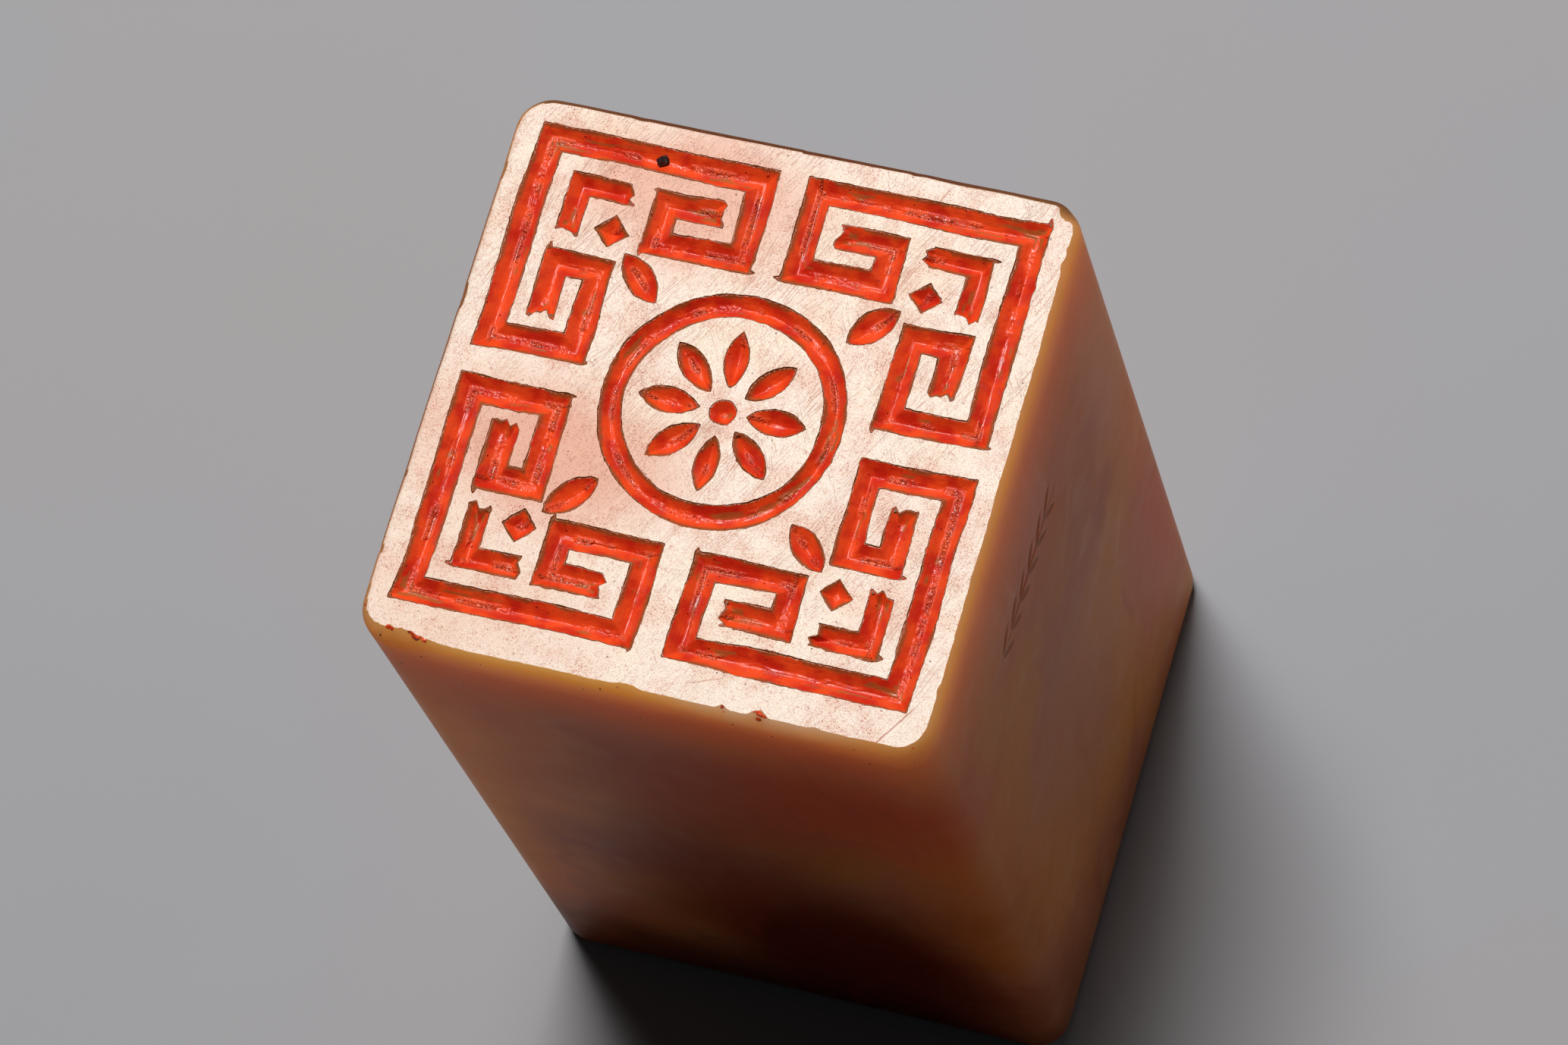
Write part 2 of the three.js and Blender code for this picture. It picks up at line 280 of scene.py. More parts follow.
class FlatSheet:
    """Points in the plane, and edges that must stay, gathered to be filled with triangles."""

    def __init__(self) -> None:
        """Starts with nothing."""
        self.points: List[Array] = []
        self.edges: List[Array] = []
        self.count = 0

    def add(self, points: Array, edges: Optional[Array] = None) -> None:
        """Adds points, and the edges that join pairs of them if there are any.

        Args:
            points: The points.
            edges: Pairs of numbers of these points.
        """
        self.points.append(points)
        if edges is not None:
            self.edges.append(edges + self.count)
        self.count += len(points)

    def chain(self, points: Array, closed: bool = False) -> None:
        """Adds points that are joined one after another, and the last to the first if closed."""
        index = np.arange(len(points))
        edges = np.c_[index, np.roll(index, -1)]
        self.add(points, edges if closed else edges[:-1])

    def filled(self) -> Tuple[Array, Array]:
        """Fills the outline of the points with triangles that keep the edges.

        Returns:
            The points used and the triangles, anticlockwise.
        """
        given = [Vector(p) for p in np.concatenate(self.points).tolist()]
        found = delaunay_2d_cdt(given, np.concatenate(self.edges).tolist(), [], 1, 1e-6, False)
        flat = np.array([(p.x, p.y) for p in found[0]])
        faces = np.array(found[2], dtype=np.int64)
        a, b, c = flat[faces[:, 0]], flat[faces[:, 1]], flat[faces[:, 2]]
        turn = (b[:, 0] - a[:, 0]) * (c[:, 1] - a[:, 1]) - (b[:, 1] - a[:, 1]) * (c[:, 0] - a[:, 0])
        faces[turn < 0] = faces[turn < 0][:, ::-1]
        return flat, faces[np.abs(turn) > 1e-9]


# The carving


@dataclass(frozen=True)
class Leaf:
    """A pointed leaf between two equal arcs.

    Attributes:
        base: One point of the leaf.
        tip: The other point.
        width: Its greatest width.
    """

    base: Point
    tip: Point
    width: float

    @property
    def middle(self) -> Point:
        """The middle of the leaf."""
        return (self.base[0] + self.tip[0]) / 2, (self.base[1] + self.tip[1]) / 2

    def flow(self, x: Array, y: Array) -> Tuple[Array, Array]:
        """Gives how far along and across the leaf points lie from its middle."""
        return along_across(x, y, self.middle, direction(self.base, self.tip))

    def distance(self, x: Array, y: Array) -> Array:
        """Gives the signed distance to the leaf's edge."""
        along, across = self.flow(x, y)
        half = self.width / 2
        radius = ((math.dist(self.base, self.tip) / 2) ** 2 + half ** 2) / self.width
        return np.hypot(along, np.abs(across) + (radius - half)) - radius


@dataclass(frozen=True)
class KnifeCut:
    """The section that the knife leaves: sloped walls down to a narrow floor."""

    depth: float = 0.65
    floor: float = 0.4

    def height(self, distance: Array, stroke: float) -> Array:
        """Gives the height of a bare cut of that width, from signed distances to its edge."""
        run = (stroke - self.floor) / 2
        return -self.depth * np.clip(-distance / run, 0.0, 1.0)


@dataclass
class Motif:
    """One closed cut of the carving.

    Attributes:
        name: What it is, as in the CAD node paste_NAME.
        stroke: Width of the cut at the face.
        low: Lowest corner of the place that it takes.
        high: Highest corner of that place.
        distance: Signed distance to its clean edge.
        flow: How far along and how far across the stroke a point lies.
        spine: The middle lines of its strokes.
        closed: True where the middle line is a loop.
    """

    name: str
    stroke: float
    low: Point
    high: Point
    distance: Callable[[Array, Array], Array]
    flow: Callable[[Array, Array], Tuple[Array, Array]]
    spine: List[Point]
    closed: bool = False

    @property
    def node(self) -> str:
        """The CAD node that this cut's paste stands for."""
        return f"paste_{self.name}"


@dataclass
class CarvingLayout:
    """The layout of the carving. Its sizes are those of the solids."""

    side_margin: float = 1.3
    back_margin: float = 1.3
    front_margin: float = 2.0
    fret_stroke: float = 1.4
    elbow_stroke: float = 1.2
    ring_stroke: float = 1.2
    seed_radius: float = 0.9
    leaf_width: float = 1.5
    petal_width: float = 1.3
    dot_radius: float = 0.6
    middle_gap: float = 1.4
    ring_gap: float = 0.95
    leaf_gap: float = 0.6
    petal_gap: float = 0.6
    fret_cells: int = 5
    seed_cell: int = 2
    tooth_depth: float = 0.3
    tooth_width: float = 0.24
    spur_length: float = 0.42
    spur_width: float = 0.34
    fret_path: Tuple[Point, ...] = (
        (4, 1), (3, 1), (3, 2), (5, 2), (5, 0), (0, 0), (0, 5), (2, 5), (2, 3), (1, 3), (1, 4),
    )
    elbow_path: Tuple[Point, ...] = ((1, 2), (1, 1), (2, 1))
    petals: Tuple[str, ...] = (
        "right", "back_right", "back", "back_left", "left", "front_left", "front", "front_right",
    )
    corners: Tuple[Tuple[str, int, int], ...] = (
        ("back_left", -1, 1), ("back_right", 1, 1), ("front_left", -1, -1), ("front_right", 1, -1),
    )

    def __post_init__(self) -> None:
        """Works out the grid of the frets and the size of the ring from the stone's own box."""
        low, high = node_box_mm("stone_body")
        self.face_height = high[2] - FACE_DROP
        half = np.array([
            (high[0] - low[0]) / 2 - self.side_margin,
            (high[1] - low[1] - self.back_margin - self.front_margin) / 2,
        ])
        self.shift = (self.front_margin - self.back_margin) / 2
        self.edge = half - self.fret_stroke / 2
        self.pitch = (self.edge - (self.middle_gap + self.fret_stroke) / 2) / self.fret_cells
        inner = float(np.min(self.edge - self.seed_cell * self.pitch))
        self.medallion = inner - self.fret_stroke / 2 - self.ring_gap
        self.ring_radius = self.medallion - self.ring_stroke / 2

    def cell(self, sx: int, sy: int, place: Point) -> Point:
        """Gives a point of the fret grid in one corner of the face."""
        u, v = place
        return sx * (self.edge[0] - u * self.pitch[0]), sy * (self.edge[1] - v * self.pitch[1])

    def stroke_motif(self, name: str, path: List[Point], stroke: float, seed: int) -> Motif:
        """Makes a cut along a path of straight strokes, with broken teeth at its two ends.

        Args:
            name: The motif's name.
            path: The corners of the path.
            stroke: Its width.
            seed: Which teeth it gets.

        Returns:
            The motif.
        """
        half = stroke / 2
        teeth = Noise(self.tooth_width, seed, angular=True)
        spurs = self.spurs(path, half, seed)
        lines = []
        run = 0.0
        last = len(path) - 2
        for i, (a, b) in enumerate(zip(path[:-1], path[1:])):
            length = math.dist(a, b)
            lines.append((a, direction(a, b), length, run, i == 0, i == last))
            run += length

        def distance(x: Array, y: Array) -> Array:
            """Gives the signed distance to the strokes."""
            nearest = np.full(np.shape(x), 99.0)
            for a, way, length, _, first, final in lines:
                along, across = along_across(x, y, a, way)
                tooth = (teeth.signed(across, 7.5 if first else 31.5) - 0.2) * self.tooth_depth
                before = half + (tooth if first else 0.0)
                after = half + (tooth if final else 0.0)
                end = np.maximum(-along - before, along - length - after)
                side = np.abs(across) - half
                outside = np.hypot(np.maximum(end, 0), np.maximum(side, 0))
                box = outside + np.minimum(np.maximum(end, side), 0)
                nearest = np.minimum(nearest, box)
            for spur in spurs:
                nearest = np.minimum(nearest, spur.distance(x, y))
            return nearest

        def flow(x: Array, y: Array) -> Tuple[Array, Array]:
            """Gives how far along and across the nearest stroke points lie."""
            best = np.full(np.shape(x), 99.0)
            along_all, across_all = np.zeros_like(best), np.zeros_like(best)
            for a, way, length, start, _, _ in lines:
                along, across = along_across(x, y, a, way)
                away = np.hypot(along - np.clip(along, 0, length), across)
                near = away < best
                best = np.where(near, away, best)
                along_all = np.where(near, along + start, along_all)
                across_all = np.where(near, across, across_all)
            return along_all, across_all

        xs, ys = [p[0] for p in path], [p[1] for p in path]
        low = (min(xs) - half, min(ys) - half)
        high = (max(xs) + half, max(ys) + half)
        return Motif(name, stroke, low, high, distance, flow, path)

    def spurs(self, path: List[Point], half: float, seed: int) -> List[Leaf]:
        """Lets the knife run on a little past some outer corners.

        Args:
            path: The corners of the path.
            half: Half the stroke's width.
            seed: Which corners it happens at.

        Returns:
            The small pointed cuts.
        """
        made = []
        for i, (a, b, c) in enumerate(zip(path[:-2], path[1:-1], path[2:])):
            draw = float(Noise(1.0, seed + 500)(i, 3.0))
            into, away = direction(a, b), direction(b, c)
            if draw < 0.45:
                continue
            along, across = (into, away) if draw < 0.75 else ((-away[0], -away[1]), (-into[0], -into[1]))
            inset = half - self.spur_width * 0.45
            side = (b[0] - across[0] * inset, b[1] - across[1] * inset)
            reach = half + self.spur_length * (0.3 + draw * 0.5)
            base = (side[0] - along[0] * half * 0.4, side[1] - along[1] * half * 0.4)
            tip = (side[0] + along[0] * reach, side[1] + along[1] * reach)
            made.append(Leaf(base, tip, self.spur_width))
        return made

    def leaf_motif(self, name: str, out: Point, start: float, end: float, width: float) -> Motif:
        """Makes a pointed leaf that points away from the middle of the face.

        Args:
            name: The motif's name.
            out: The direction in which it points.
            start: How far from the middle it starts.
            end: How far from the middle it ends.
            width: Its greatest width.

        Returns:
            The motif.
        """
        leaf = Leaf((out[0] * start, out[1] * start), (out[0] * end, out[1] * end), width)
        (cx, cy), (ux, uy) = leaf.middle, direction(leaf.base, leaf.tip)
        reach = math.dist(leaf.base, leaf.tip) / 2
        spine = [(cx + s * ux * reach * 0.6, cy + s * uy * reach * 0.6) for s in (-1, 1)]
        low, high = (cx - reach, cy - reach), (cx + reach, cy + reach)
        return Motif(name, width, low, high, leaf.distance, leaf.flow, spine)

    def round_motif(self, name: str, radius: float, stroke: float) -> Motif:
        """Makes the ring, or the centre dot where the radius is zero.

        Args:
            name: The motif's name.
            radius: Radius of the stroke's middle line.
            stroke: Width of the stroke.

        Returns:
            The motif.
        """
        def distance(x: Array, y: Array) -> Array:
            """Gives the signed distance to the round stroke."""
            return np.abs(np.hypot(x, y) - radius) - stroke / 2

        def flow(x: Array, y: Array) -> Tuple[Array, Array]:
            """Gives how far round and how far out from the stroke points lie."""
            return np.arctan2(y, x) * max(radius, stroke), np.hypot(x, y) - radius

        turn = np.linspace(0, 2 * math.pi, 96, endpoint=False)
        spine = [(radius * math.cos(a), radius * math.sin(a)) for a in turn]
        reach = radius + stroke / 2
        return Motif(name, stroke, (-reach, -reach), (reach, reach), distance, flow, spine, radius > 0)

    def seed_motif(self, name: str, centre: Point) -> Motif:
        """Makes a square seed that stands on its corner.

        Args:
            name: The motif's name.
            centre: Its middle.

        Returns:
            The motif.
        """
        reach, root = self.seed_radius, math.sqrt(2)

        def flow(x: Array, y: Array) -> Tuple[Array, Array]:
            """Gives how far along its two sides points lie from the middle."""
            return (x - centre[0] + y - centre[1]) / root, (y - centre[1] - x + centre[0]) / root

        def distance(x: Array, y: Array) -> Array:
            """Gives the signed distance to the square."""
            along, across = flow(x, y)
            return np.maximum(np.abs(along), np.abs(across)) - reach / root

        low = (centre[0] - reach, centre[1] - reach)
        high = (centre[0] + reach, centre[1] + reach)
        return Motif(name, reach * root, low, high, distance, flow, [centre])

    def motifs(self) -> List[Motif]:
        """Lists every cut of the carving."""
        made: List[Motif] = []
        for number, (name, sx, sy) in enumerate(self.corners):
            fret = [self.cell(sx, sy, place) for place in self.fret_path]
            elbow = [self.cell(sx, sy, place) for place in self.elbow_path]
            seed = self.cell(sx, sy, (self.seed_cell, self.seed_cell))
            reach = math.hypot(*seed)
            out = (seed[0] / reach, seed[1] / reach)
            near = reach - self.seed_radius / (abs(out[0]) + abs(out[1]))
            start, end = self.medallion + self.leaf_gap, near - self.leaf_gap
            made.append(self.stroke_motif(f"fret_{name}", fret, self.fret_stroke, 11 + number))
            made.append(self.stroke_motif(f"elbow_{name}", elbow, self.elbow_stroke, 21 + number))
            made.append(self.seed_motif(f"seed_{name}", seed))
            made.append(self.leaf_motif(f"leaf_{name}", out, start, end, self.leaf_width))
        start = self.dot_radius + self.petal_gap
        end = self.ring_radius - self.ring_stroke / 2 - self.petal_gap
        for i, name in enumerate(self.petals):
            turn = 2 * math.pi * i / len(self.petals)
            out = (math.cos(turn), math.sin(turn))
            made.append(self.leaf_motif(f"petal_{name}", out, start, end, self.petal_width))
        made.append(self.round_motif("ring", self.ring_radius, self.ring_stroke))
        made.append(self.round_motif("centre_dot", 0.0, 2 * self.dot_radius))
        return made


@dataclass(frozen=True)
class HandCut:
    """What the hand and the brittle stone do to a clean edge.

    Attributes:
        sway: How far a stroke wanders.
        swell: How much it widens and narrows.
        ragged: Depth of the small breaks along an edge, which fade out down the wall.
        fade: How far from the edge they reach.
        chip: Depth of the larger chips.
        chip_share: Where the chip noise has to reach before stone breaks out.
    """

    sway: float = 0.11
    swell: float = 0.065
    ragged: float = 0.038
    fade: float = 0.1
    chip: float = 0.7
    chip_share: float = 0.84

    def distance(self, motif: Motif, x: Array, y: Array) -> Array:
        """Gives the signed distance to a motif's edge as it was really cut."""
        swayed_x = x + self.sway * Noise(4.3, 301).signed(x, y)
        swayed_y = y + self.sway * Noise(4.7, 302).signed(x, y)
        clean = motif.distance(swayed_x, swayed_y) + self.swell * Noise(2.6, 306).signed(x, y)
        ragged = Noise(0.27, 303, angular=True).signed(x, y) * self.ragged
        ragged = ragged + Noise(0.11, 304, angular=True).signed(x, y) * self.ragged * 0.5
        chip = np.maximum(Noise(0.45, 305, angular=True)(x, y) - self.chip_share, 0.0) * self.chip
        return clean + (ragged - chip) * np.exp(-np.abs(clean) / self.fade)


@dataclass
class Carving:
    """The cuts as the knife left them, each of which reaches a little past its place."""

    layout: CarvingLayout = field(default_factory=CarvingLayout)
    section: KnifeCut = KnifeCut()
    hand: HandCut = HandCut()
    reach: float = 0.6

    def __post_init__(self) -> None:
        """Lists the cuts."""
        self.motifs = self.layout.motifs()
        self.origin = np.array([0.0, self.layout.shift, self.layout.face_height])

    def near(self, motif: Motif, x: Array, y: Array) -> Array:
        """Picks the points that a motif can reach."""
        (x0, y0), (x1, y1), reach = motif.low, motif.high, self.reach
        return (x > x0 - reach) & (x < x1 + reach) & (y > y0 - reach) & (y < y1 + reach)

    def surface(self, x: Array, y: Array) -> Tuple[Array, Array]:
        """Gives the distance to the nearest cut and the height of the bare stone.

        Args:
            x: Positions across the face.
            y: Positions up the face.

        Returns:
            Signed distances, and heights from the face.
        """
        distance = np.full(np.shape(x), 9.0)
        height = np.zeros(np.shape(x))
        for motif in self.motifs:
            mask = self.near(motif, x, y)
            if not mask.any():
                continue
            found = self.hand.distance(motif, x[mask], y[mask])
            depth = self.section.height(found, motif.stroke)
            distance[mask] = np.minimum(distance[mask], found)
            height[mask] = np.minimum(height[mask], depth)
        return distance, height


# The finishes


class Wiring:
    """Adds nodes to one node tree and joins them."""

    def __init__(self, tree: bpy.types.NodeTree) -> None:
        """Keeps the tree."""
        self.tree = tree

    def node(self, kind: str, inputs: Optional[Dict] = None, **settings: object) -> bpy.types.Node:
        """Adds a node, sets its properties and feeds its inputs.

        Args:
            kind: The node's type.
            inputs: What its inputs are given, by name or number: another socket or a plain value.
            **settings: Its properties by name.

        Returns:
            The new node.
        """
        made = self.tree.nodes.new(kind)
        for name, value in settings.items():
            setattr(made, name, value)
        for key, value in (inputs or {}).items():
            self.put(made.inputs[key], value)
        return made

    def put(self, socket: Socket, value: Value) -> None:
        """Joins a socket to another one, or gives it a plain value."""
        if isinstance(value, Socket):
            self.tree.links.new(value, socket)
        else:
            socket.default_value = value

    def math(self, operation: str, first: Value, second: Value = 0.0, third: Value = 0.0) -> Socket:
        """Adds a Math node and gives its result."""
        return self.node("ShaderNodeMath", {0: first, 1: second, 2: third}, operation=operation).outputs[0]

    def times(self, first: Value, second: Value) -> Socket:
        """Multiplies two numbers."""
        return self.math("MULTIPLY", first, second)

    def scaled(self, value: Value, factor: Value, start: Value) -> Socket:
        """Multiplies a number by a factor and adds a start to it."""
        return self.math("MULTIPLY_ADD", value, factor, start)

    def centred(self, value: Value) -> Socket:
        """Moves a number from 0 to 1 so that it lies about zero."""
        return self.math("SUBTRACT", value, 0.5)

    def vector(self, operation: str, first: Value, second: Value = (0.0, 0.0, 0.0)) -> Socket:
        """Adds a Vector Math node and gives its result."""
        inputs = {0: first, "Scale" if operation == "SCALE" else 1: second}
        made = self.node("ShaderNodeVectorMath", inputs, operation=operation)
        return made.outputs["Value" if operation == "LENGTH" else "Vector"]

    def split(self, value: Value) -> bpy.types.NodeOutputs:
        """Gives the X, Y and Z of a vector."""
        return self.node("ShaderNodeSeparateXYZ", {0: value}).outputs

    def rise(self, value: Value, low: Value, high: Value) -> Socket:
        """Maps a number smoothly from 0 at low to 1 at high."""
        inputs = {"Value": value, "From Min": low, "From Max": high}
        settings = {"interpolation_type": "SMOOTHSTEP", "clamp": True}
        return self.node("ShaderNodeMapRange", inputs, **settings).outputs["Result"]

    def thread(self, pattern: Value, width: float, core: float = 0.0) -> Socket:
        """Gives a mask of the thin lines along which a pattern is half way, full at the core."""
        return self.rise(self.math("ABSOLUTE", self.centred(pattern)), width, core)

    def blend(self, share: Value, first: Value, second: Value) -> Socket:
        """Mixes two colours."""
        return self.node("ShaderNodeMix", {0: share, 6: first, 7: second}, data_type="RGBA").outputs[2]

    def laid(self, colour: Value, other: Value, mask: Value, strength: Value) -> Socket:
        """Lays another colour over one where the mask says, at that strength."""
        return self.blend(self.times(mask, strength), colour, other)

    def attribute(self, name: str) -> Socket:
        """Reads a value that the mesh carries."""
        return self.node("ShaderNodeAttribute", attribute_name=name).outputs["Fac"]

    def noise(self, place: Value, scale: Value, detail: Value = 2.0, output: str = "Fac") -> Socket:
        """Adds a noise pattern with so many cells to the unit."""
        inputs = {"Vector": place, "Scale": scale, "Detail": detail}
        return self.node("ShaderNodeTexNoise", inputs).outputs[output]

    def strewn(self, place: Value, scale: float, amount: float) -> Socket:
        """Gives an uneven offset about zero, of so many cells to the unit."""
        centred = self.vector("SUBTRACT", self.noise(place, scale, output="Color"), (0.5, 0.5, 0.5))
        return self.vector("SCALE", centred, amount)

    def warped(self, place: Value, scale: float, amount: float) -> Socket:
        """Moves the points of a pattern about, so that its shapes become uneven."""
        return self.vector("ADD", place, self.strewn(place, scale, amount))

    def stretched(self, place: Value, turn: float, cell: Sequence[float]) -> Socket:
        """Turns a pattern about Z by so many degrees and gives its cells the size in millimetres."""
        inputs = {"Vector": place, "Rotation": (0.0, 0.0, math.radians(turn)), "Scale": cell}
        return self.node("ShaderNodeMapping", inputs, vector_type="TEXTURE").outputs["Vector"]


def number_input(tree: bpy.types.NodeTree, name: str, value: float) -> str:
    """Adds a number input to a node group and gives its identifier."""
    made = tree.interface.new_socket(name, in_out="INPUT", socket_type="NodeSocketFloat")
    made.default_value = value
    return made.identifier


class Effects:
    """The shader node groups that several finishes share, each built once."""

    def __init__(self) -> None:
        """Builds the groups."""
        self.patches = self.make("soft_patches", "Mask", Scale=1.0, Detail=2.0, Low=0.4, High=0.6)
        wiring, given, out = self.open(self.patches)
        pattern = wiring.noise(given["Vector"], given["Scale"], given["Detail"])
        wiring.put(out, wiring.rise(pattern, given["Low"], given["High"]))

        self.specks = self.make("fine_specks", "Mask", Scale=1.0, Size=0.3, Share=0.5)
        wiring, given, out = self.open(self.specks)
        cells = wiring.node("ShaderNodeTexVoronoi", {key: given[key] for key in ("Vector", "Scale")}).outputs
        shade = wiring.node("ShaderNodeSeparateColor", {0: cells["Color"]}).outputs[0]
        near = wiring.rise(cells["Distance"], given["Size"], wiring.times(given["Size"], 0.55))
        wiring.put(out, wiring.times(near, wiring.math("LESS_THAN", shade, given["Share"])))

        self.lumps = self.make("lumpy_height", "Height", Scale=1.0, Detail=3.0, Ridges=0.5)
        wiring, given, out = self.open(self.lumps)
        centred = wiring.centred(wiring.noise(given["Vector"], given["Scale"], given["Detail"]))
        folded = wiring.math("SUBTRACT", 0.25, wiring.math("ABSOLUTE", centred))
        change = wiring.times(wiring.math("SUBTRACT", folded, centred), given["Ridges"])
        wiring.put(out, wiring.math("ADD", centred, change))

    @staticmethod
    def make(name: str, output: str, **numbers: float) -> bpy.types.NodeTree:
        """Makes an empty group with a Vector input, further number inputs and one output.

        Args:
            name: The group's name.
            output: Its output's name.
            **numbers: The number inputs and what they are by default.

        Returns:
            The new group.
        """
        group = bpy.data.node_groups.new(name, "ShaderNodeTree")
        group.interface.new_socket("Vector", in_out="INPUT", socket_type="NodeSocketVector")
        for key, value in numbers.items():
            number_input(group, key, value)
        group.interface.new_socket(output, in_out="OUTPUT", socket_type="NodeSocketFloat")
        return group

    @staticmethod
    def open(group: bpy.types.NodeTree) -> Tuple[Wiring, bpy.types.NodeOutputs, Socket]:
        """Gives a group's wiring, what it is given, and the socket for what it puts out."""
        wiring = Wiring(group)
        return wiring, wiring.node("NodeGroupInput").outputs, wiring.node("NodeGroupOutput").inputs[0]


class Finish(Wiring):
    """A material under way: its nodes, its shader and the point on the object in millimetres."""

    def __init__(self, name: str, effects: Effects) -> None:
        """Makes the material with a plain Principled shader.

        Args:
            name: The material's name.
            effects: The shared node groups.
        """
        self.material = bpy.data.materials.new(name)
        self.material.use_nodes = True
        super().__init__(self.material.node_tree)
        self.effects = effects
        self.shader = self.tree.nodes["Principled BSDF"]
        self.place = self.vector("SCALE", self.node("ShaderNodeTexCoord").outputs["Object"], METRE)

    def effect(self, group: bpy.types.NodeTree, **inputs: Value) -> Socket:
        """Places a shared effect and feeds its inputs."""
        return self.node("ShaderNodeGroup", inputs, node_tree=group).outputs[0]

    def patches(self, place: Value, scale: float, detail: float, low: float, high: float) -> Socket:
        """Gives a mask of soft patches: the part of a noise above low, full from high on."""
        return self.effect(self.effects.patches, Vector=place, Scale=scale, Detail=detail, Low=low, High=high)

    def specks(self, place: Value, scale: float, size: float, share: float) -> Socket:
        """Gives a mask of specks of a size, in a share of the cells."""
        return self.effect(self.effects.specks, Vector=place, Scale=scale, Size=size, Share=share)

    def lumps(self, place: Value, scale: float, detail: float, ridges: float) -> Socket:
        """Gives a lumpy height about zero, from smooth to ridged."""
        return self.effect(self.effects.lumps, Vector=place, Scale=scale, Detail=detail, Ridges=ridges)

    def frayed(self, name: str, edge: Value, amount: float, low: float, high: float) -> Socket:
        """Gives a mask of the region where the mesh's value rises from low to high, with a noisy edge."""
        return self.rise(self.scaled(edge, amount, self.attribute(name)), low, high)

    def give(self, **inputs: Value) -> None:
        """Feeds the shader's inputs, whose names are written here with underscores for spaces."""
        for name, value in inputs.items():
            self.put(self.shader.inputs[name.replace("_", " ")], value)

    def relief(self, height: Value) -> None:
        """Turns a height in millimetres into the shader's normal."""
        bump = self.node("ShaderNodeBump", {"Strength": 1.0, "Distance": MM, "Height": height})
        self.give(Normal=bump.outputs["Normal"])


@dataclass(frozen=True)
class StonePatch:
    """A region of the stone that nature coloured in its own way.

    Attributes:
        centre: Its middle in millimetres, in the stone's frame.
        radii: How far it reaches along X, Y and Z.
        colour: Its colour.
        share: How strongly it shows in the middle.
    """

    centre: Triple
    radii: Triple
    colour: Rgba
    share: float


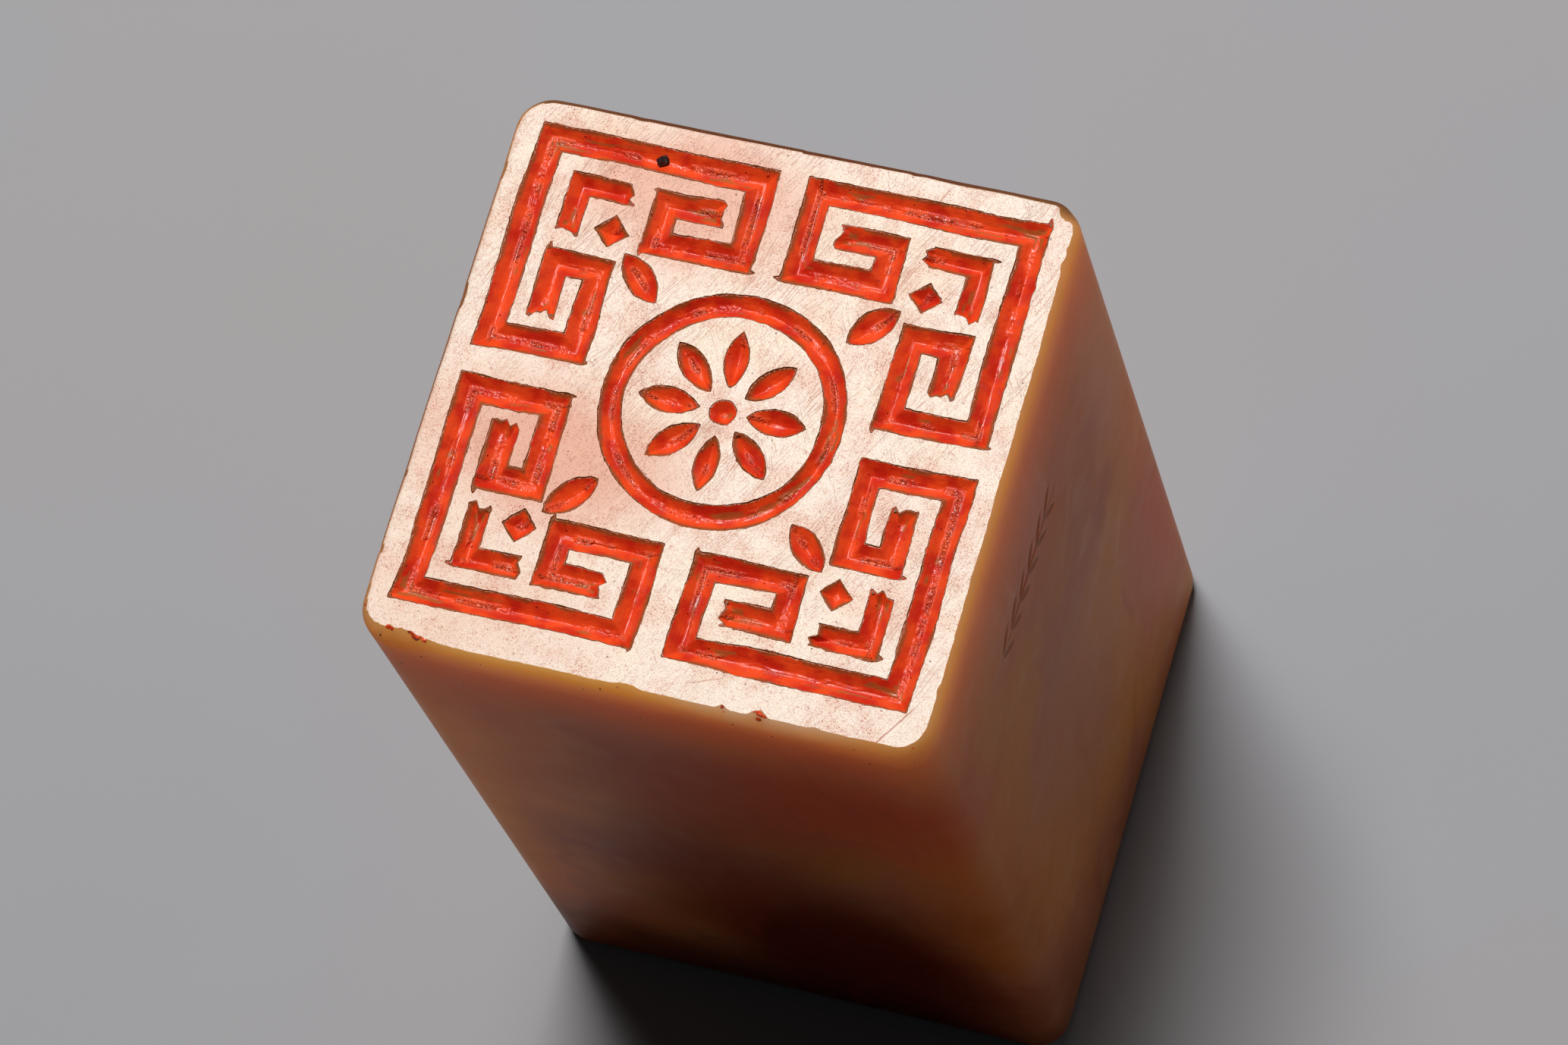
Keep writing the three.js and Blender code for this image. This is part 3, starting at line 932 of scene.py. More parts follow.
@dataclass(frozen=True)
class StoneFinish:
    """Waxed honey and mauve stone with a ground cream face."""

    cream: Rgba = srgb(251, 235, 219)
    blush: Rgba = srgb(236, 184, 162)
    butter: Rgba = srgb(250, 235, 212)
    stipple: Rgba = srgb(180, 94, 66)
    dark_speck: Rgba = srgb(104, 48, 34)
    rubbed: Rgba = srgb(204, 142, 116)
    cut_olive: Rgba = srgb(128, 72, 30)
    honey: Rgba = srgb(202, 124, 60)
    mauve: Rgba = srgb(190, 112, 74)
    milk: Rgba = srgb(214, 154, 112)
    amber: Rgba = srgb(236, 138, 72)
    band: Rgba = srgb(238, 150, 84)
    vein: Rgba = srgb(148, 56, 32)
    etched: Rgba = srgb(140, 80, 50)
    dust: Rgba = srgb(58, 30, 24)
    patches: Tuple[StonePatch, ...] = (
        StonePatch((-12.0, -14.0, 37.0), (7.5, 9.0, 18.0), srgb(226, 130, 74), 0.85),
        StonePatch((0.0, -14.0, 34.0), (9.0, 6.0, 12.0), srgb(184, 72, 26), 0.85),
        StonePatch((9.0, -14.0, 38.0), (9.0, 7.0, 11.0), srgb(196, 74, 16), 0.85),
        StonePatch((14.0, -14.0, 25.0), (6.0, 8.0, 13.0), srgb(188, 100, 38), 0.8),
        StonePatch((-14.0, -13.0, 14.0), (7.0, 8.0, 16.0), srgb(212, 120, 54), 0.85),
        StonePatch((4.0, -14.0, 8.0), (14.0, 8.0, 25.0), srgb(90, 24, 6), 1.0),
        StonePatch((-8.0, -14.0, 0.0), (15.0, 5.0, 10.0), srgb(80, 28, 10), 0.9),
        StonePatch((-3.0, -14.0, 21.0), (6.5, 5.0, 12.0), srgb(126, 44, 8), 0.6),
        StonePatch((-14.0, -14.0, 28.0), (5.0, 6.0, 24.0), srgb(250, 166, 92), 0.7),
        StonePatch((14.0, 1.0, 41.0), (7.0, 9.0, 8.0), srgb(204, 116, 74), 0.8),
        StonePatch((14.0, 11.0, 38.0), (6.0, 5.0, 12.0), srgb(206, 144, 102), 0.8),
        StonePatch((14.0, 10.0, 14.0), (6.0, 6.0, 10.0), srgb(196, 104, 70), 0.75),
        StonePatch((14.0, -3.0, 18.0), (6.0, 8.0, 14.0), srgb(188, 118, 82), 0.7),
    )

    rim_patches: Tuple[StonePatch, ...] = (
        StonePatch((-4.0, -14.0, 49.0), (10.0, 3.0, 3.0), srgb(246, 172, 88), 0.65),
        StonePatch((-1.0, -14.0, 45.5), (9.0, 3.0, 4.0), srgb(224, 118, 38), 0.5),
        StonePatch((6.0, -14.0, 48.9), (5.5, 3.0, 1.3), srgb(240, 182, 146), 0.6),
        StonePatch((-14.0, 0.0, 48.7), (1.2, 17.0, 1.2), srgb(148, 84, 54), 0.85),
        StonePatch((0.0, 14.0, 48.7), (34.0, 1.2, 1.2), srgb(104, 52, 32), 0.95),
    )
    stains: Tuple[StonePatch, ...] = (
        StonePatch((-4.5, 10.5, 49.0), (8.0, 5.0, 9.0), srgb(233, 168, 142), 0.75),
        StonePatch((-7.5, -3.5, 49.0), (8.5, 5.0, 9.0), srgb(229, 160, 134), 0.8),
        StonePatch((-9.0, -11.0, 49.0), (9.0, 4.0, 9.0), srgb(236, 188, 162), 0.35),
    )
    scratches: Tuple[Tuple[float, float, float, float], ...] = (
        (64.0, 2.4, 0.06, 0.58), (54.0, 1.7, 0.05, 0.61), (76.0, 1.3, 0.05, 0.62), (118.0, 1.2, 0.05, 0.63),
    )
    gouges: Tuple[Tuple[float, float, float, float, float], ...] = (
        (12.05, -12.95, 57.0, 3.6, 0.12), (7.0, 12.4, 66.0, 3.0, 0.09), (-12.6, -2.0, 71.0, 2.4, 0.08),
        (3.0, -12.6, 20.0, 2.2, 0.06),
    )
    stipples: Tuple[Tuple[float, float, float, float], ...] = (
        (13.0, 0.36, 0.62, 0.9), (7.0, 0.3, 0.5, 0.95), (4.2, 0.18, 0.35, 0.95),
    )
    hairs: Tuple[Triple, ...] = ((1.3, 0.007, 0.54), (2.9, 0.016, 0.55))

    def patched(self, finish: Finish, place: Value, colour: Value, patches: Sequence[StonePatch]) -> Value:
        """Lays soft-edged patches of colour over the stone.

        Args:
            finish: The material.
            place: The place on the stone.
            colour: The colour under the patches.
            patches: The patches.

        Returns:
            The colour with the patches on it.
        """
        for patch in patches:
            away = finish.vector("DIVIDE", finish.vector("SUBTRACT", place, patch.centre), patch.radii)
            mask = finish.rise(finish.vector("LENGTH", away), 1.1, 0.25)
            colour = finish.laid(colour, patch.colour, mask, patch.share)
        return colour

    def side_colour(self, finish: Finish) -> Socket:
        """Colours the waxed sides: clouded patches, veins and a golden band under the rim."""
        place = finish.place
        drifted = finish.warped(place, 0.12, 7.0)
        clouds = finish.patches(drifted, scale=0.09, detail=4.0, low=0.4, high=0.62)
        milky = finish.patches(drifted, scale=0.35, detail=5.0, low=0.5, high=0.75)
        colour = finish.laid(finish.blend(clouds, self.honey, self.mauve), self.milk, milky, 0.4)
        colour = self.patched(finish, drifted, colour, self.patches)
        veins = finish.noise(finish.stretched(drifted, 0.0, (1.0, 1.0, 3.2)), 0.13, 1.2)
        some = finish.patches(place, scale=0.13, detail=1.0, low=0.5, high=0.62)
        colour = finish.laid(colour, self.vein, finish.thread(veins, 0.05), finish.times(some, 0.22))
        height = finish.split(place)["Z"]
        level = finish.math("ADD", height, finish.times(finish.noise(place, 0.3), 2.0))
        colour = finish.laid(colour, self.amber, finish.rise(level, 40.0, 49.5), 0.7)
        colour = finish.laid(colour, self.band, finish.rise(level, 47.2, 49.4), 0.85)
        colour = self.patched(finish, place, colour, self.rim_patches)
        dust = finish.specks(finish.stretched(place, 0.0, (1.0, 1.0, 1.7)), scale=2.2, size=0.16, share=0.12)
        return finish.laid(colour, self.dust, dust, finish.rise(height, 40.0, 48.0))

    def scratch_mask(self, finish: Finish) -> Socket:
        """Lays the grinding scratches in sheaves, most of them one way, fainter at the front left."""
        curled = finish.warped(finish.place, 0.3, 0.6)
        total: Value = 0.0
        for turn, length, width, low in self.scratches:
            lines = finish.stretched(curled, turn, (length, width, 1.0))
            lines = finish.patches(lines, scale=1.0, detail=1.0, low=low, high=low + 0.07)
            sheaf = finish.stretched(finish.place, turn, (4.0, 1.3, 1.0))
            sheaf = finish.patches(sheaf, scale=1.0, detail=2.0, low=0.42, high=0.66)
            total = finish.math("MAXIMUM", total, finish.times(lines, sheaf))
        split = finish.split(finish.place)
        behind = finish.rise(finish.scaled(split["X"], 0.5, split["Y"]), -12.0, 4.0)
        return finish.times(total, finish.scaled(behind, 0.65, 0.35))

    def gouge_mask(self, finish: Finish) -> Socket:
        """Draws the few long scratches, each at its place, turned and faded out at its ends."""
        curled = finish.warped(finish.place, 2.5, 0.09)
        total: Value = 0.0
        for x, y, turn, length, width in self.gouges:
            line = finish.vector("SUBTRACT", curled, (x, y, 0.0))
            split = finish.split(finish.stretched(line, turn, (length / 2, width / 2, 1.0)))
            ends = finish.rise(finish.math("ABSOLUTE", split["X"]), 1.0, 0.6)
            sides = finish.rise(finish.math("ABSOLUTE", split["Y"]), 1.0, 0.35)
            total = finish.math("MAXIMUM", total, finish.times(ends, sides))
        return total

    def ground_colour(self, finish: Finish, scratches: Value) -> Socket:
        """Colours the ground face: cream with blushes, fine stipple, specks, hairs and scratches.

        Args:
            finish: The material.
            scratches: The mask of the grinding scratches.

        Returns:
            The colour.
        """
        place = finish.place
        warm = finish.patches(place, scale=0.16, detail=2.0, low=0.45, high=0.7)
        colour = finish.laid(self.cream, self.butter, warm, 0.7)
        colour = self.patched(finish, finish.warped(place, 0.3, 3.0), colour, self.stains)
        crowd = finish.patches(place, scale=0.6, detail=5.0, low=0.42, high=0.7)
        near_cut = finish.scaled(finish.attribute("near_cut"), 0.24, 0.24)
        colour = finish.laid(colour, self.blush, crowd, near_cut)
        grain = finish.patches(place, scale=11.0, detail=3.0, low=0.46, high=0.72)
        colour = finish.laid(colour, self.rubbed, grain, finish.scaled(crowd, 0.24, 0.15))
        worms = finish.thread(finish.noise(place, 6.0), 0.035)
        colour = finish.laid(colour, self.rubbed, worms, finish.scaled(crowd, 0.35, 0.4))
        frayed = finish.warped(place, 9.0, 0.06)
        for scale, size, share, strength in self.stipples:
            dots = finish.specks(frayed, scale=scale, size=size, share=share)
            shown = finish.scaled(crowd, strength * 0.6, strength * 0.4)
            colour = finish.laid(colour, self.stipple, dots, shown)
        for scale, width, low in self.hairs:
            hair = finish.thread(finish.noise(place, scale, 3.5), width, 0.001)
            shown = finish.patches(place, scale=scale * 0.9, detail=1.0, low=low, high=low + 0.07)
            colour = finish.laid(colour, self.stipple, hair, finish.times(shown, 0.7))
        sparse = finish.specks(frayed, scale=1.5, size=0.085, share=0.4)
        colour = finish.laid(colour, self.dark_speck, sparse, 0.85)
        colour = finish.laid(colour, self.rubbed, scratches, 0.72)
        return finish.laid(colour, self.stipple, self.gouge_mask(finish), 0.7)

    def dressed(self, finish: Finish, colour: Value, ground: Value, relief: Value) -> None:
        """Gives a material of the stone its colour, its relief and its gloss.

        Args:
            finish: The material.
            colour: Its colour.
            ground: How much of it is ground bare, from 0 to 1.
            relief: The height of its surface in millimetres.
        """
        smeared = finish.times(finish.noise(finish.place, 0.8, 3.0), 0.14)
        finish.give(
            Base_Color=colour,
            Roughness=finish.math("ADD", finish.scaled(ground, 0.22, 0.3), smeared),
            Coat_Weight=finish.scaled(ground, 0.06, 0.03),
            Coat_Roughness=0.24,
            Specular_IOR_Level=0.035,
        )
        finish.relief(relief)

    def face(self, effects: Effects) -> Material:
        """Makes the material of the ground and carved face, which light enters only a little."""
        finish = Finish("ground_stone", effects)
        place = finish.place
        scratches = self.scratch_mask(finish)
        ground = finish.frayed("ground", finish.centred(finish.noise(place, 7.0, 3.0)), 0.24, 0.2, 0.9)
        colour = self.ground_colour(finish, scratches)
        colour = finish.blend(ground, self.side_colour(finish), colour)
        colour = finish.blend(finish.rise(finish.attribute("cut"), 0.0, 0.15), colour, self.cut_olive)
        tooth = finish.lumps(place, scale=5.5, detail=4.0, ridges=0.4)
        fine = finish.lumps(place, scale=15.0, detail=3.0, ridges=0.5)
        relief = finish.scaled(tooth, 0.022, finish.times(scratches, -0.012))
        self.dressed(finish, colour, ground, finish.scaled(fine, 0.012, relief))
        finish.give(Subsurface_Weight=0.15, Subsurface_Radius=(1.0, 0.5, 0.3), Subsurface_Scale=0.0001)
        return finish.material

    def sides(self, effects: Effects) -> Material:
        """Makes the material of the waxed sides, which glow under the rim where light comes through."""
        finish = Finish("waxed_stone", effects)
        edge = finish.centred(finish.noise(finish.place, 7.0, 3.0))
        etched = finish.frayed("etched", edge, 0.32, 0.15, 0.9)
        colour = finish.laid(self.side_colour(finish), self.etched, etched, 0.6)
        ripple = finish.lumps(finish.place, scale=0.5, detail=2.0, ridges=0.0)
        self.dressed(finish, colour, 0.0, finish.times(ripple, 0.03))
        finish.shader.subsurface_method = "BURLEY"
        finish.give(Subsurface_Weight=1.0, Subsurface_Radius=(1.0, 0.34, 0.14), Subsurface_Scale=0.014)
        return finish.material


@dataclass(frozen=True)
class PasteFinish:
    """Oily orange-red seal paste, dark and olive where it was wiped thin."""

    orange: Rgba = srgb(238, 76, 26)
    deep: Rgba = srgb(206, 38, 12)
    olive: Rgba = srgb(156, 96, 44)
    brown: Rgba = srgb(146, 78, 36)
    pit: Rgba = srgb(112, 14, 8)
    gap: Rgba = srgb(112, 44, 14)
    wax: Rgba = srgb(240, 120, 66)

    def build(self, effects: Effects) -> Material:
        """Makes the paste's material from the shared node groups."""
        finish = Finish("red_paste", effects)
        place, across = finish.place, finish.attribute("across")
        clouds = finish.patches(place, scale=0.8, detail=4.0, low=0.38, high=0.66)
        colour = finish.blend(clouds, self.orange, self.deep)
        edge = finish.centred(finish.noise(place, 5.0, 3.0))
        colour = finish.laid(colour, self.olive, finish.frayed("wiped", edge, 0.7, 0.25, 0.85), 0.7)
        colour = finish.laid(colour, self.brown, finish.frayed("thin", edge, 0.7, 0.1, 0.9), 0.85)
        clusters = finish.patches(place, scale=0.55, detail=3.0, low=0.48, high=0.58)
        crumbled = finish.times(finish.rise(finish.math("ABSOLUTE", across), 0.24, 0.06), clusters)
        crumb = finish.noise(place, 11.0)
        colour = finish.laid(colour, self.gap, finish.times(finish.rise(crumb, 0.5, 0.36), crumbled), 0.8)
        colour = finish.laid(colour, self.wax, finish.times(finish.rise(crumb, 0.52, 0.66), crumbled), 0.6)
        pits = finish.specks(finish.warped(place, 6.0, 0.1), scale=1.9, size=0.11, share=0.45)
        colour = finish.laid(colour, self.pit, pits, 0.9)
        flow = finish.node("ShaderNodeCombineXYZ", {0: finish.attribute("along"), 1: across}).outputs[0]
        drag = finish.stretched(flow, 0.0, (1.1, 0.09, 1.0))
        height = finish.times(finish.lumps(drag, scale=1.0, detail=3.0, ridges=0.3), 0.02)
        for pattern, rise in (
            (finish.lumps(place, scale=4.2, detail=4.0, ridges=0.6), 0.045),
            (finish.lumps(place, scale=14.0, detail=2.0, ridges=0.2), 0.009),
            (pits, -0.03), (finish.times(crumb, crumbled), 0.16),
        ):
            height = finish.scaled(pattern, rise, height)
        patchy = finish.noise(place, 1.6, 3.0)
        glossy = finish.math("MAXIMUM", crumbled, finish.rise(patchy, 0.45, 0.65))
        finish.give(
            Base_Color=colour,
            Roughness=finish.scaled(patchy, 0.3, 0.26),
            Coat_Weight=finish.times(glossy, 0.35),
            Coat_Roughness=0.14,
            Specular_IOR_Level=0.35,
        )
        finish.relief(height)
        return finish.material


@dataclass(frozen=True)
class GritFinish:
    """A dark broken mineral grain, glossy on its fresh faces."""

    dark: Rgba = srgb(30, 27, 28)
    pale: Rgba = srgb(78, 72, 70)

    def build(self, effects: Effects) -> Material:
        """Makes the grain's material from the shared node groups."""
        finish = Finish("dark_grit", effects)
        place = finish.place
        worn = finish.patches(place, scale=5.0, detail=3.0, low=0.5, high=0.75)
        dusty = finish.times(finish.specks(place, scale=14.0, size=0.3, share=0.25), 0.6)
        colour = finish.blend(finish.math("MAXIMUM", worn, dusty), self.dark, self.pale)
        finish.give(Base_Color=colour, Roughness=finish.scaled(worn, 0.3, 0.25))
        finish.relief(finish.times(finish.lumps(place, scale=7.0, detail=3.0, ridges=0.8), 0.06))
        return finish.material


@dataclass(frozen=True)
class TableFinish:
    """A plain matt grey table top."""

    grey: Rgba = srgb(165, 167, 172)
    warm: Rgba = srgb(168, 166, 168)

    def build(self, effects: Effects) -> Material:
        """Makes the table's material from the shared node groups."""
        finish = Finish("grey_table", effects)
        faded = finish.patches(finish.place, scale=0.02, detail=3.0, low=0.3, high=0.7)
        colour = finish.blend(faded, self.grey, self.warm)
        finish.give(Base_Color=colour, Roughness=0.85, Specular_IOR_Level=0.2)
        return finish.material


# The stone


@dataclass
class StoneShape:
    """The block's edges, from its CAD box, and the wear around the carved face.

    Attributes:
        edge_radius: Rounding of the four long edges.
        worn_rim: Rounding of the carved face's rim along the left side.
        back_rim: Rounding of that rim along the back side.
        crisp_rim: Rounding of that rim along the front and right sides, where the grinding cut into it.
        rim_start: How steep in degrees that cut-off rounding is where it meets the face.
        end_rim: Rounding of the plain end.
        spacing: Distance between the points around the rim.
        rim_rows: Steps from the face to the flat sides.
        chips: Chips in the rim: distance around it, width and depth.
    """

    edge_radius: float = 1.7
    worn_rim: float = 0.45
    back_rim: float = 0.38
    crisp_rim: float = 0.32
    rim_start: float = 40.0
    end_rim: float = 1.0
    spacing: float = 0.1
    rim_rows: int = 7
    chips: Tuple[Triple, ...] = (
        (42.6, 1.5, 0.3), (54.0, 0.5, 0.15), (58.7, 0.25, 0.16), (60.4, 0.4, 0.3), (63.2, 0.3, 0.08),
        (71.2, 0.2, 0.06), (92.6, 0.3, 0.12), (93.4, 0.16, 0.08), (95.6, 0.5, 0.26),
        (24.0, 0.6, 0.12), (37.0, 0.22, 0.1), (8.0, 0.3, 0.07), (103.4, 0.25, 0.05), (17.3, 0.3, 0.06),
    )

    def __post_init__(self) -> None:
        """Measures the block and lays out the way round it."""
        low, high = node_box_mm("stone_body")
        self.width, self.depth = high[0] - low[0], high[1] - low[1]
        self.length = high[2] - low[2] - FACE_DROP
        flat_x, flat_y = self.width - 2 * self.edge_radius, self.depth - 2 * self.edge_radius
        arc = self.edge_radius * math.pi / 2
        self.runs = [flat_x / 2, arc, flat_y, arc, flat_x, arc, flat_y, arc, flat_x / 2]
        self.starts = np.concatenate([[0.0], np.cumsum(self.runs)])
        self.girth = float(self.starts[-1])
        self.count = int(round(self.girth / self.spacing))

    def around(self, u: Array) -> Tuple[Array, Array]:
        """Follows the block round, anticlockwise from above, from the middle of its back side.

        Args:
            u: Distances around the block.

        Returns:
            Points on the outline, and the outward directions there.
        """
        u = np.mod(u, self.girth)
        index = np.clip(np.searchsorted(self.starts, u, side="right") - 1, 0, 8)
        local = u - self.starts[index]
        hx, hy, r = self.width / 2, self.depth / 2, self.edge_radius
        points, outward = np.zeros((len(u), 2)), np.zeros((len(u), 2))
        flats = {
            0: ((0.0, hy), (-1, 0), (0, 1)), 2: ((-hx, hy - r), (0, -1), (-1, 0)),
            4: ((-hx + r, -hy), (1, 0), (0, -1)), 6: ((hx, -hy + r), (0, 1), (1, 0)),
            8: ((hx - r, hy), (-1, 0), (0, 1)),
        }
        for k, (start, way, out) in flats.items():
            mask = index == k
            points[mask] = np.array(start) + local[mask, None] * np.array(way)
            outward[mask] = out
        arcs = {
            1: (-hx + r, hy - r, 90), 3: (-hx + r, -hy + r, 180),
            5: (hx - r, -hy + r, 270), 7: (hx - r, hy - r, 0),
        }
        for k, (cx, cy, first) in arcs.items():
            mask = index == k
            angle = math.radians(first) + local[mask] / r
            out = np.c_[np.cos(angle), np.sin(angle)]
            outward[mask] = out
            points[mask] = np.array([cx, cy]) + out * r
        return points, outward

    def crispness(self, u: Array) -> Array:
        """Gives how crisp the rim is: 1 along the front and right sides, 0 along the back and left ones."""
        front, back = self.starts[3] + 0.6, self.starts[7] + 1.4
        return smoothstep(front - 1.5, front + 1.5, u) * (1 - smoothstep(back - 1.5, back + 1.5, u))

    def behind(self, u: Array) -> Array:
        """Gives how far the rim belongs to the back side: 1 there, 0 along the other three."""
        left = smoothstep(self.starts[1] - 1.5, self.starts[2] + 1.5, u) * (u < self.starts[5])
        return (1 - self.crispness(u)) * (1 - left)

    def rim_radius(self, u: Array) -> Array:
        """Gives the rounding of the face's rim around the block, with its wear and chips."""
        crisp = self.crispness(u)
        uneven = 0.82 + 0.25 * Noise(2.2, 41)(u)
        worn = self.worn_rim + (self.back_rim - self.worn_rim) * self.behind(u)
        radius = uneven * (worn + (self.crisp_rim - worn) * crisp)
        radius = radius + (0.008 + 0.01 * crisp) * Noise(0.4, 42, angular=True).signed(u)
        radius = radius + 0.012 * crisp * Noise(0.17, 44, angular=True).signed(u)
        for centre, width, bite in self.chips:
            ragged = 1.0 + 0.3 * Noise(0.18, 43, angular=True).signed(u)
            radius = radius + bite * ragged * np.exp(-np.abs((u - centre) / width) ** 3)
        return radius

    def first_tilt(self, u: Array) -> Array:
        """Gives the slope in radians at which the rim's rounding starts."""
        return np.radians(self.rim_start * (0.15 + 0.85 * self.crispness(u)))

    def rim_inset(self, u: Array, down: Array) -> Array:
        """Gives how far the rim lies inside the block's outline.

        Args:
            u: Distances around the block.
            down: Depths below the face.

        Returns:
            Distances from the outline.
        """
        first = self.first_tilt(u)
        radius = self.rim_radius(u) / (1 - np.sin(first))
        return radius * (1 - np.sqrt(1 - np.clip(np.cos(first) - down / radius, 0, 1) ** 2))


@dataclass
class SideSpray:
    """The leafy spray scratched into the right side, laid out along Y and Z.

    Its stem lies by drop below the face and by shift behind the middle of the side. The angle of the
    leaves is in radians, and margin is how far round the spray the side gets more points.
    """

    length: float = 10.0
    drop: float = 9.5
    shift: float = -1.3
    stem_width: float = 0.3
    leaf_length: float = 1.9
    leaf_width: float = 0.5
    depth: float = 0.07
    floor: float = 0.08
    pairs: int = 6
    angle: float = 0.7
    margin: float = 0.4

    def leaves(self) -> List[Leaf]:
        """Lists the stem and the leaves, each from base to tip."""
        end = self.length / 2
        made = [Leaf((-end, 0.0), (end, 0.0), self.stem_width)]
        for i in range(self.pairs):
            base = (-end + (i + 0.5) * self.length / (self.pairs + 1), 0.0)
            for turn in (self.angle, -self.angle):
                tip = (base[0] + self.leaf_length * math.cos(turn), self.leaf_length * math.sin(turn))
                made.append(Leaf(base, tip, self.leaf_width))
        return made

    def surface(self, y: Array, z: Array) -> Tuple[Array, Array]:
        """Gives the distance to the nearest scratch and how deep the side is there.

        Args:
            y: Positions along the side, from its middle.
            z: Heights above the stem.

        Returns:
            Signed distances, and depths.
        """
        distance, depth = np.full(np.shape(y), 9.0), np.zeros(np.shape(y))
        wobble = 0.02 * Noise(0.3, 61, angular=True).signed(y, z)
        for leaf in self.leaves():
            found = leaf.distance(y - self.shift, z) + wobble
            distance = np.minimum(distance, found)
            run = (leaf.width - self.floor) / 2
            depth = np.maximum(depth, self.depth * np.clip(-found / run, 0.0, 1.0))
        return distance, depth


@dataclass
class SealStone:
    """The stone itself: the ground and carved face, the worn rim, the sides and the plain end.

    The levels are distances to a cut's edge at which the surface has a line of points, found between
    samples on a grid. The flat sides start by side_top below the face.
    """

    carving: Carving
    shape: StoneShape = field(default_factory=StoneShape)
    spray: SideSpray = field(default_factory=SideSpray)
    face_levels: Tuple[float, ...] = (0.0, -0.05, -0.28, -0.48)
    spray_levels: Tuple[float, ...] = (0.02, -0.02, -0.1, -0.18)
    grid: float = 0.05
    spray_grid: float = 0.045
    land_step: float = 0.55
    side_top: float = 1.6
    side_rows: int = 34
    arc_columns: int = 11
    end_rows: int = 7

    def __post_init__(self) -> None:
        """Lays out the way round the block."""
        self.around_u = np.arange(self.shape.count) * self.shape.girth / self.shape.count
        self.outline, self.outward = self.shape.around(self.around_u)
        self.rim = self.shape.rim_radius(self.around_u)

    @staticmethod
    def values(count: int, **given: Array) -> Dict[str, Array]:
        """Gives the point values that the stone's finishes read, all zero but the given ones."""
        return {name: given.get(name, np.zeros(count)) for name in ("ground", "cut", "near_cut", "etched")}

    def face_mesh(self) -> MeshData:
        """Makes the ground face with its cuts, out to the rim."""
        shift = self.carving.layout.shift
        reach_x, reach_y = self.shape.width / 2 - 0.6, self.shape.depth / 2 - 0.6
        xs = np.arange(-reach_x, reach_x, self.grid)
        ys = np.arange(-reach_y, reach_y, self.grid)
        grid_x, grid_y = np.meshgrid(xs, ys)
        distance, _ = self.carving.surface(grid_x.ravel(), grid_y.ravel() - shift)
        lines = Contours(xs, ys, distance.reshape(grid_x.shape))
        sheet = FlatSheet()
        for level in self.face_levels:
            sheet.add(*lines.at(level))
        loop = self.outline - self.outward * self.rim[:, None]
        sheet.chain(loop, closed=True)
        sheet.add(self.land_points())
        flat, faces = sheet.filled()
        faces = faces[self.inside_rim(flat[faces].mean(axis=1), loop)]
        distance, height = self.carving.surface(flat[:, 0], flat[:, 1] - shift)
        edge = sheet.points[0]
        on_edge = np.isin(np.round(flat, 5) @ [1, 1j], np.round(edge, 5) @ [1, 1j])
        distance = np.where(on_edge, np.maximum(distance, 0.0), distance)
        height = np.where(distance < 0.0, height, 0.0)
        values = self.values(
            len(flat), ground=np.ones(len(flat)), cut=np.clip(-distance / 0.05, 0, 1),
            near_cut=np.clip(1 - distance / 1.2, 0, 1),
        )
        return MeshData(np.c_[flat, height + self.shape.length], faces, values)

    def edge_distance(self, flat: Array) -> Array:
        """Gives how far points of the face lie from the block's outline."""
        radius = self.shape.edge_radius
        qx = np.abs(flat[:, 0]) - self.shape.width / 2 + radius
        qy = np.abs(flat[:, 1]) - self.shape.depth / 2 + radius
        return radius - np.hypot(np.maximum(qx, 0), np.maximum(qy, 0)) - np.minimum(np.maximum(qx, qy), 0)

    def inside_rim(self, flat: Array, loop: Array, safe: float = 2.2, batch: int = 4000) -> Array:
        """Tells which points lie inside the loop where the face ends.

        Args:
            flat: Points of the face.
            loop: The face's outline.
            safe: How far from the block's outline no point needs a test.
            batch: How many points are tested at a time.

        Returns:
            True for each point inside.
        """
        inside = self.edge_distance(flat) > safe
        close = np.nonzero(~inside)[0]
        (x0, y0), (x1, y1) = loop.T, np.roll(loop, -1, axis=0).T
        for start in range(0, len(close), batch):
            picked = close[start:start + batch]
            x, y = flat[picked, 0][:, None], flat[picked, 1][:, None]
            crosses = (y0 > y) != (y1 > y)
            reach = x0 + (y - y0) * (x1 - x0) / np.where(y1 == y0, 1e-12, y1 - y0)
            inside[picked] = (crosses & (x < reach)).sum(axis=1) % 2 == 1
        return inside

    def land_points(self) -> Array:
        """Scatters points over the bare stone between the cuts."""
        half = self.shape.width / 2
        steps = np.arange(-half, half, self.land_step)
        x, y = [v.ravel() for v in np.meshgrid(steps, steps)]
        x = x + 0.2 * Noise(0.5, 51).signed(x, y)
        y = y + 0.2 * Noise(0.5, 52).signed(x, y)
        distance, _ = self.carving.surface(x, y - self.carving.layout.shift)
        kept = (distance > 0.2) & (self.edge_distance(np.c_[x, y]) > 1.4)
        return np.c_[x, y][kept]

    def row(self, inset: Union[Array, float], height: Union[Array, float]) -> Array:
        """Gives one ring of points around the block."""
        count = len(self.outline)
        flat = self.outline - self.outward * np.broadcast_to(inset, (count,))[:, None]
        return np.c_[flat, np.broadcast_to(height, (count,))]

    @staticmethod
    def bands(rows: List[Array]) -> MeshData:
        """Joins rings of points, from the highest to the lowest, into a closed band."""
        count = len(rows[0])
        index = np.arange(count)
        after = np.roll(index, -1)
        faces = []
        for high, low in zip(range(0, len(rows) * count, count), range(count, len(rows) * count, count)):
            faces.append(np.c_[high + index, low + index, low + after])
            faces.append(np.c_[high + index, low + after, high + after])
        return MeshData(np.concatenate(rows), np.concatenate(faces))

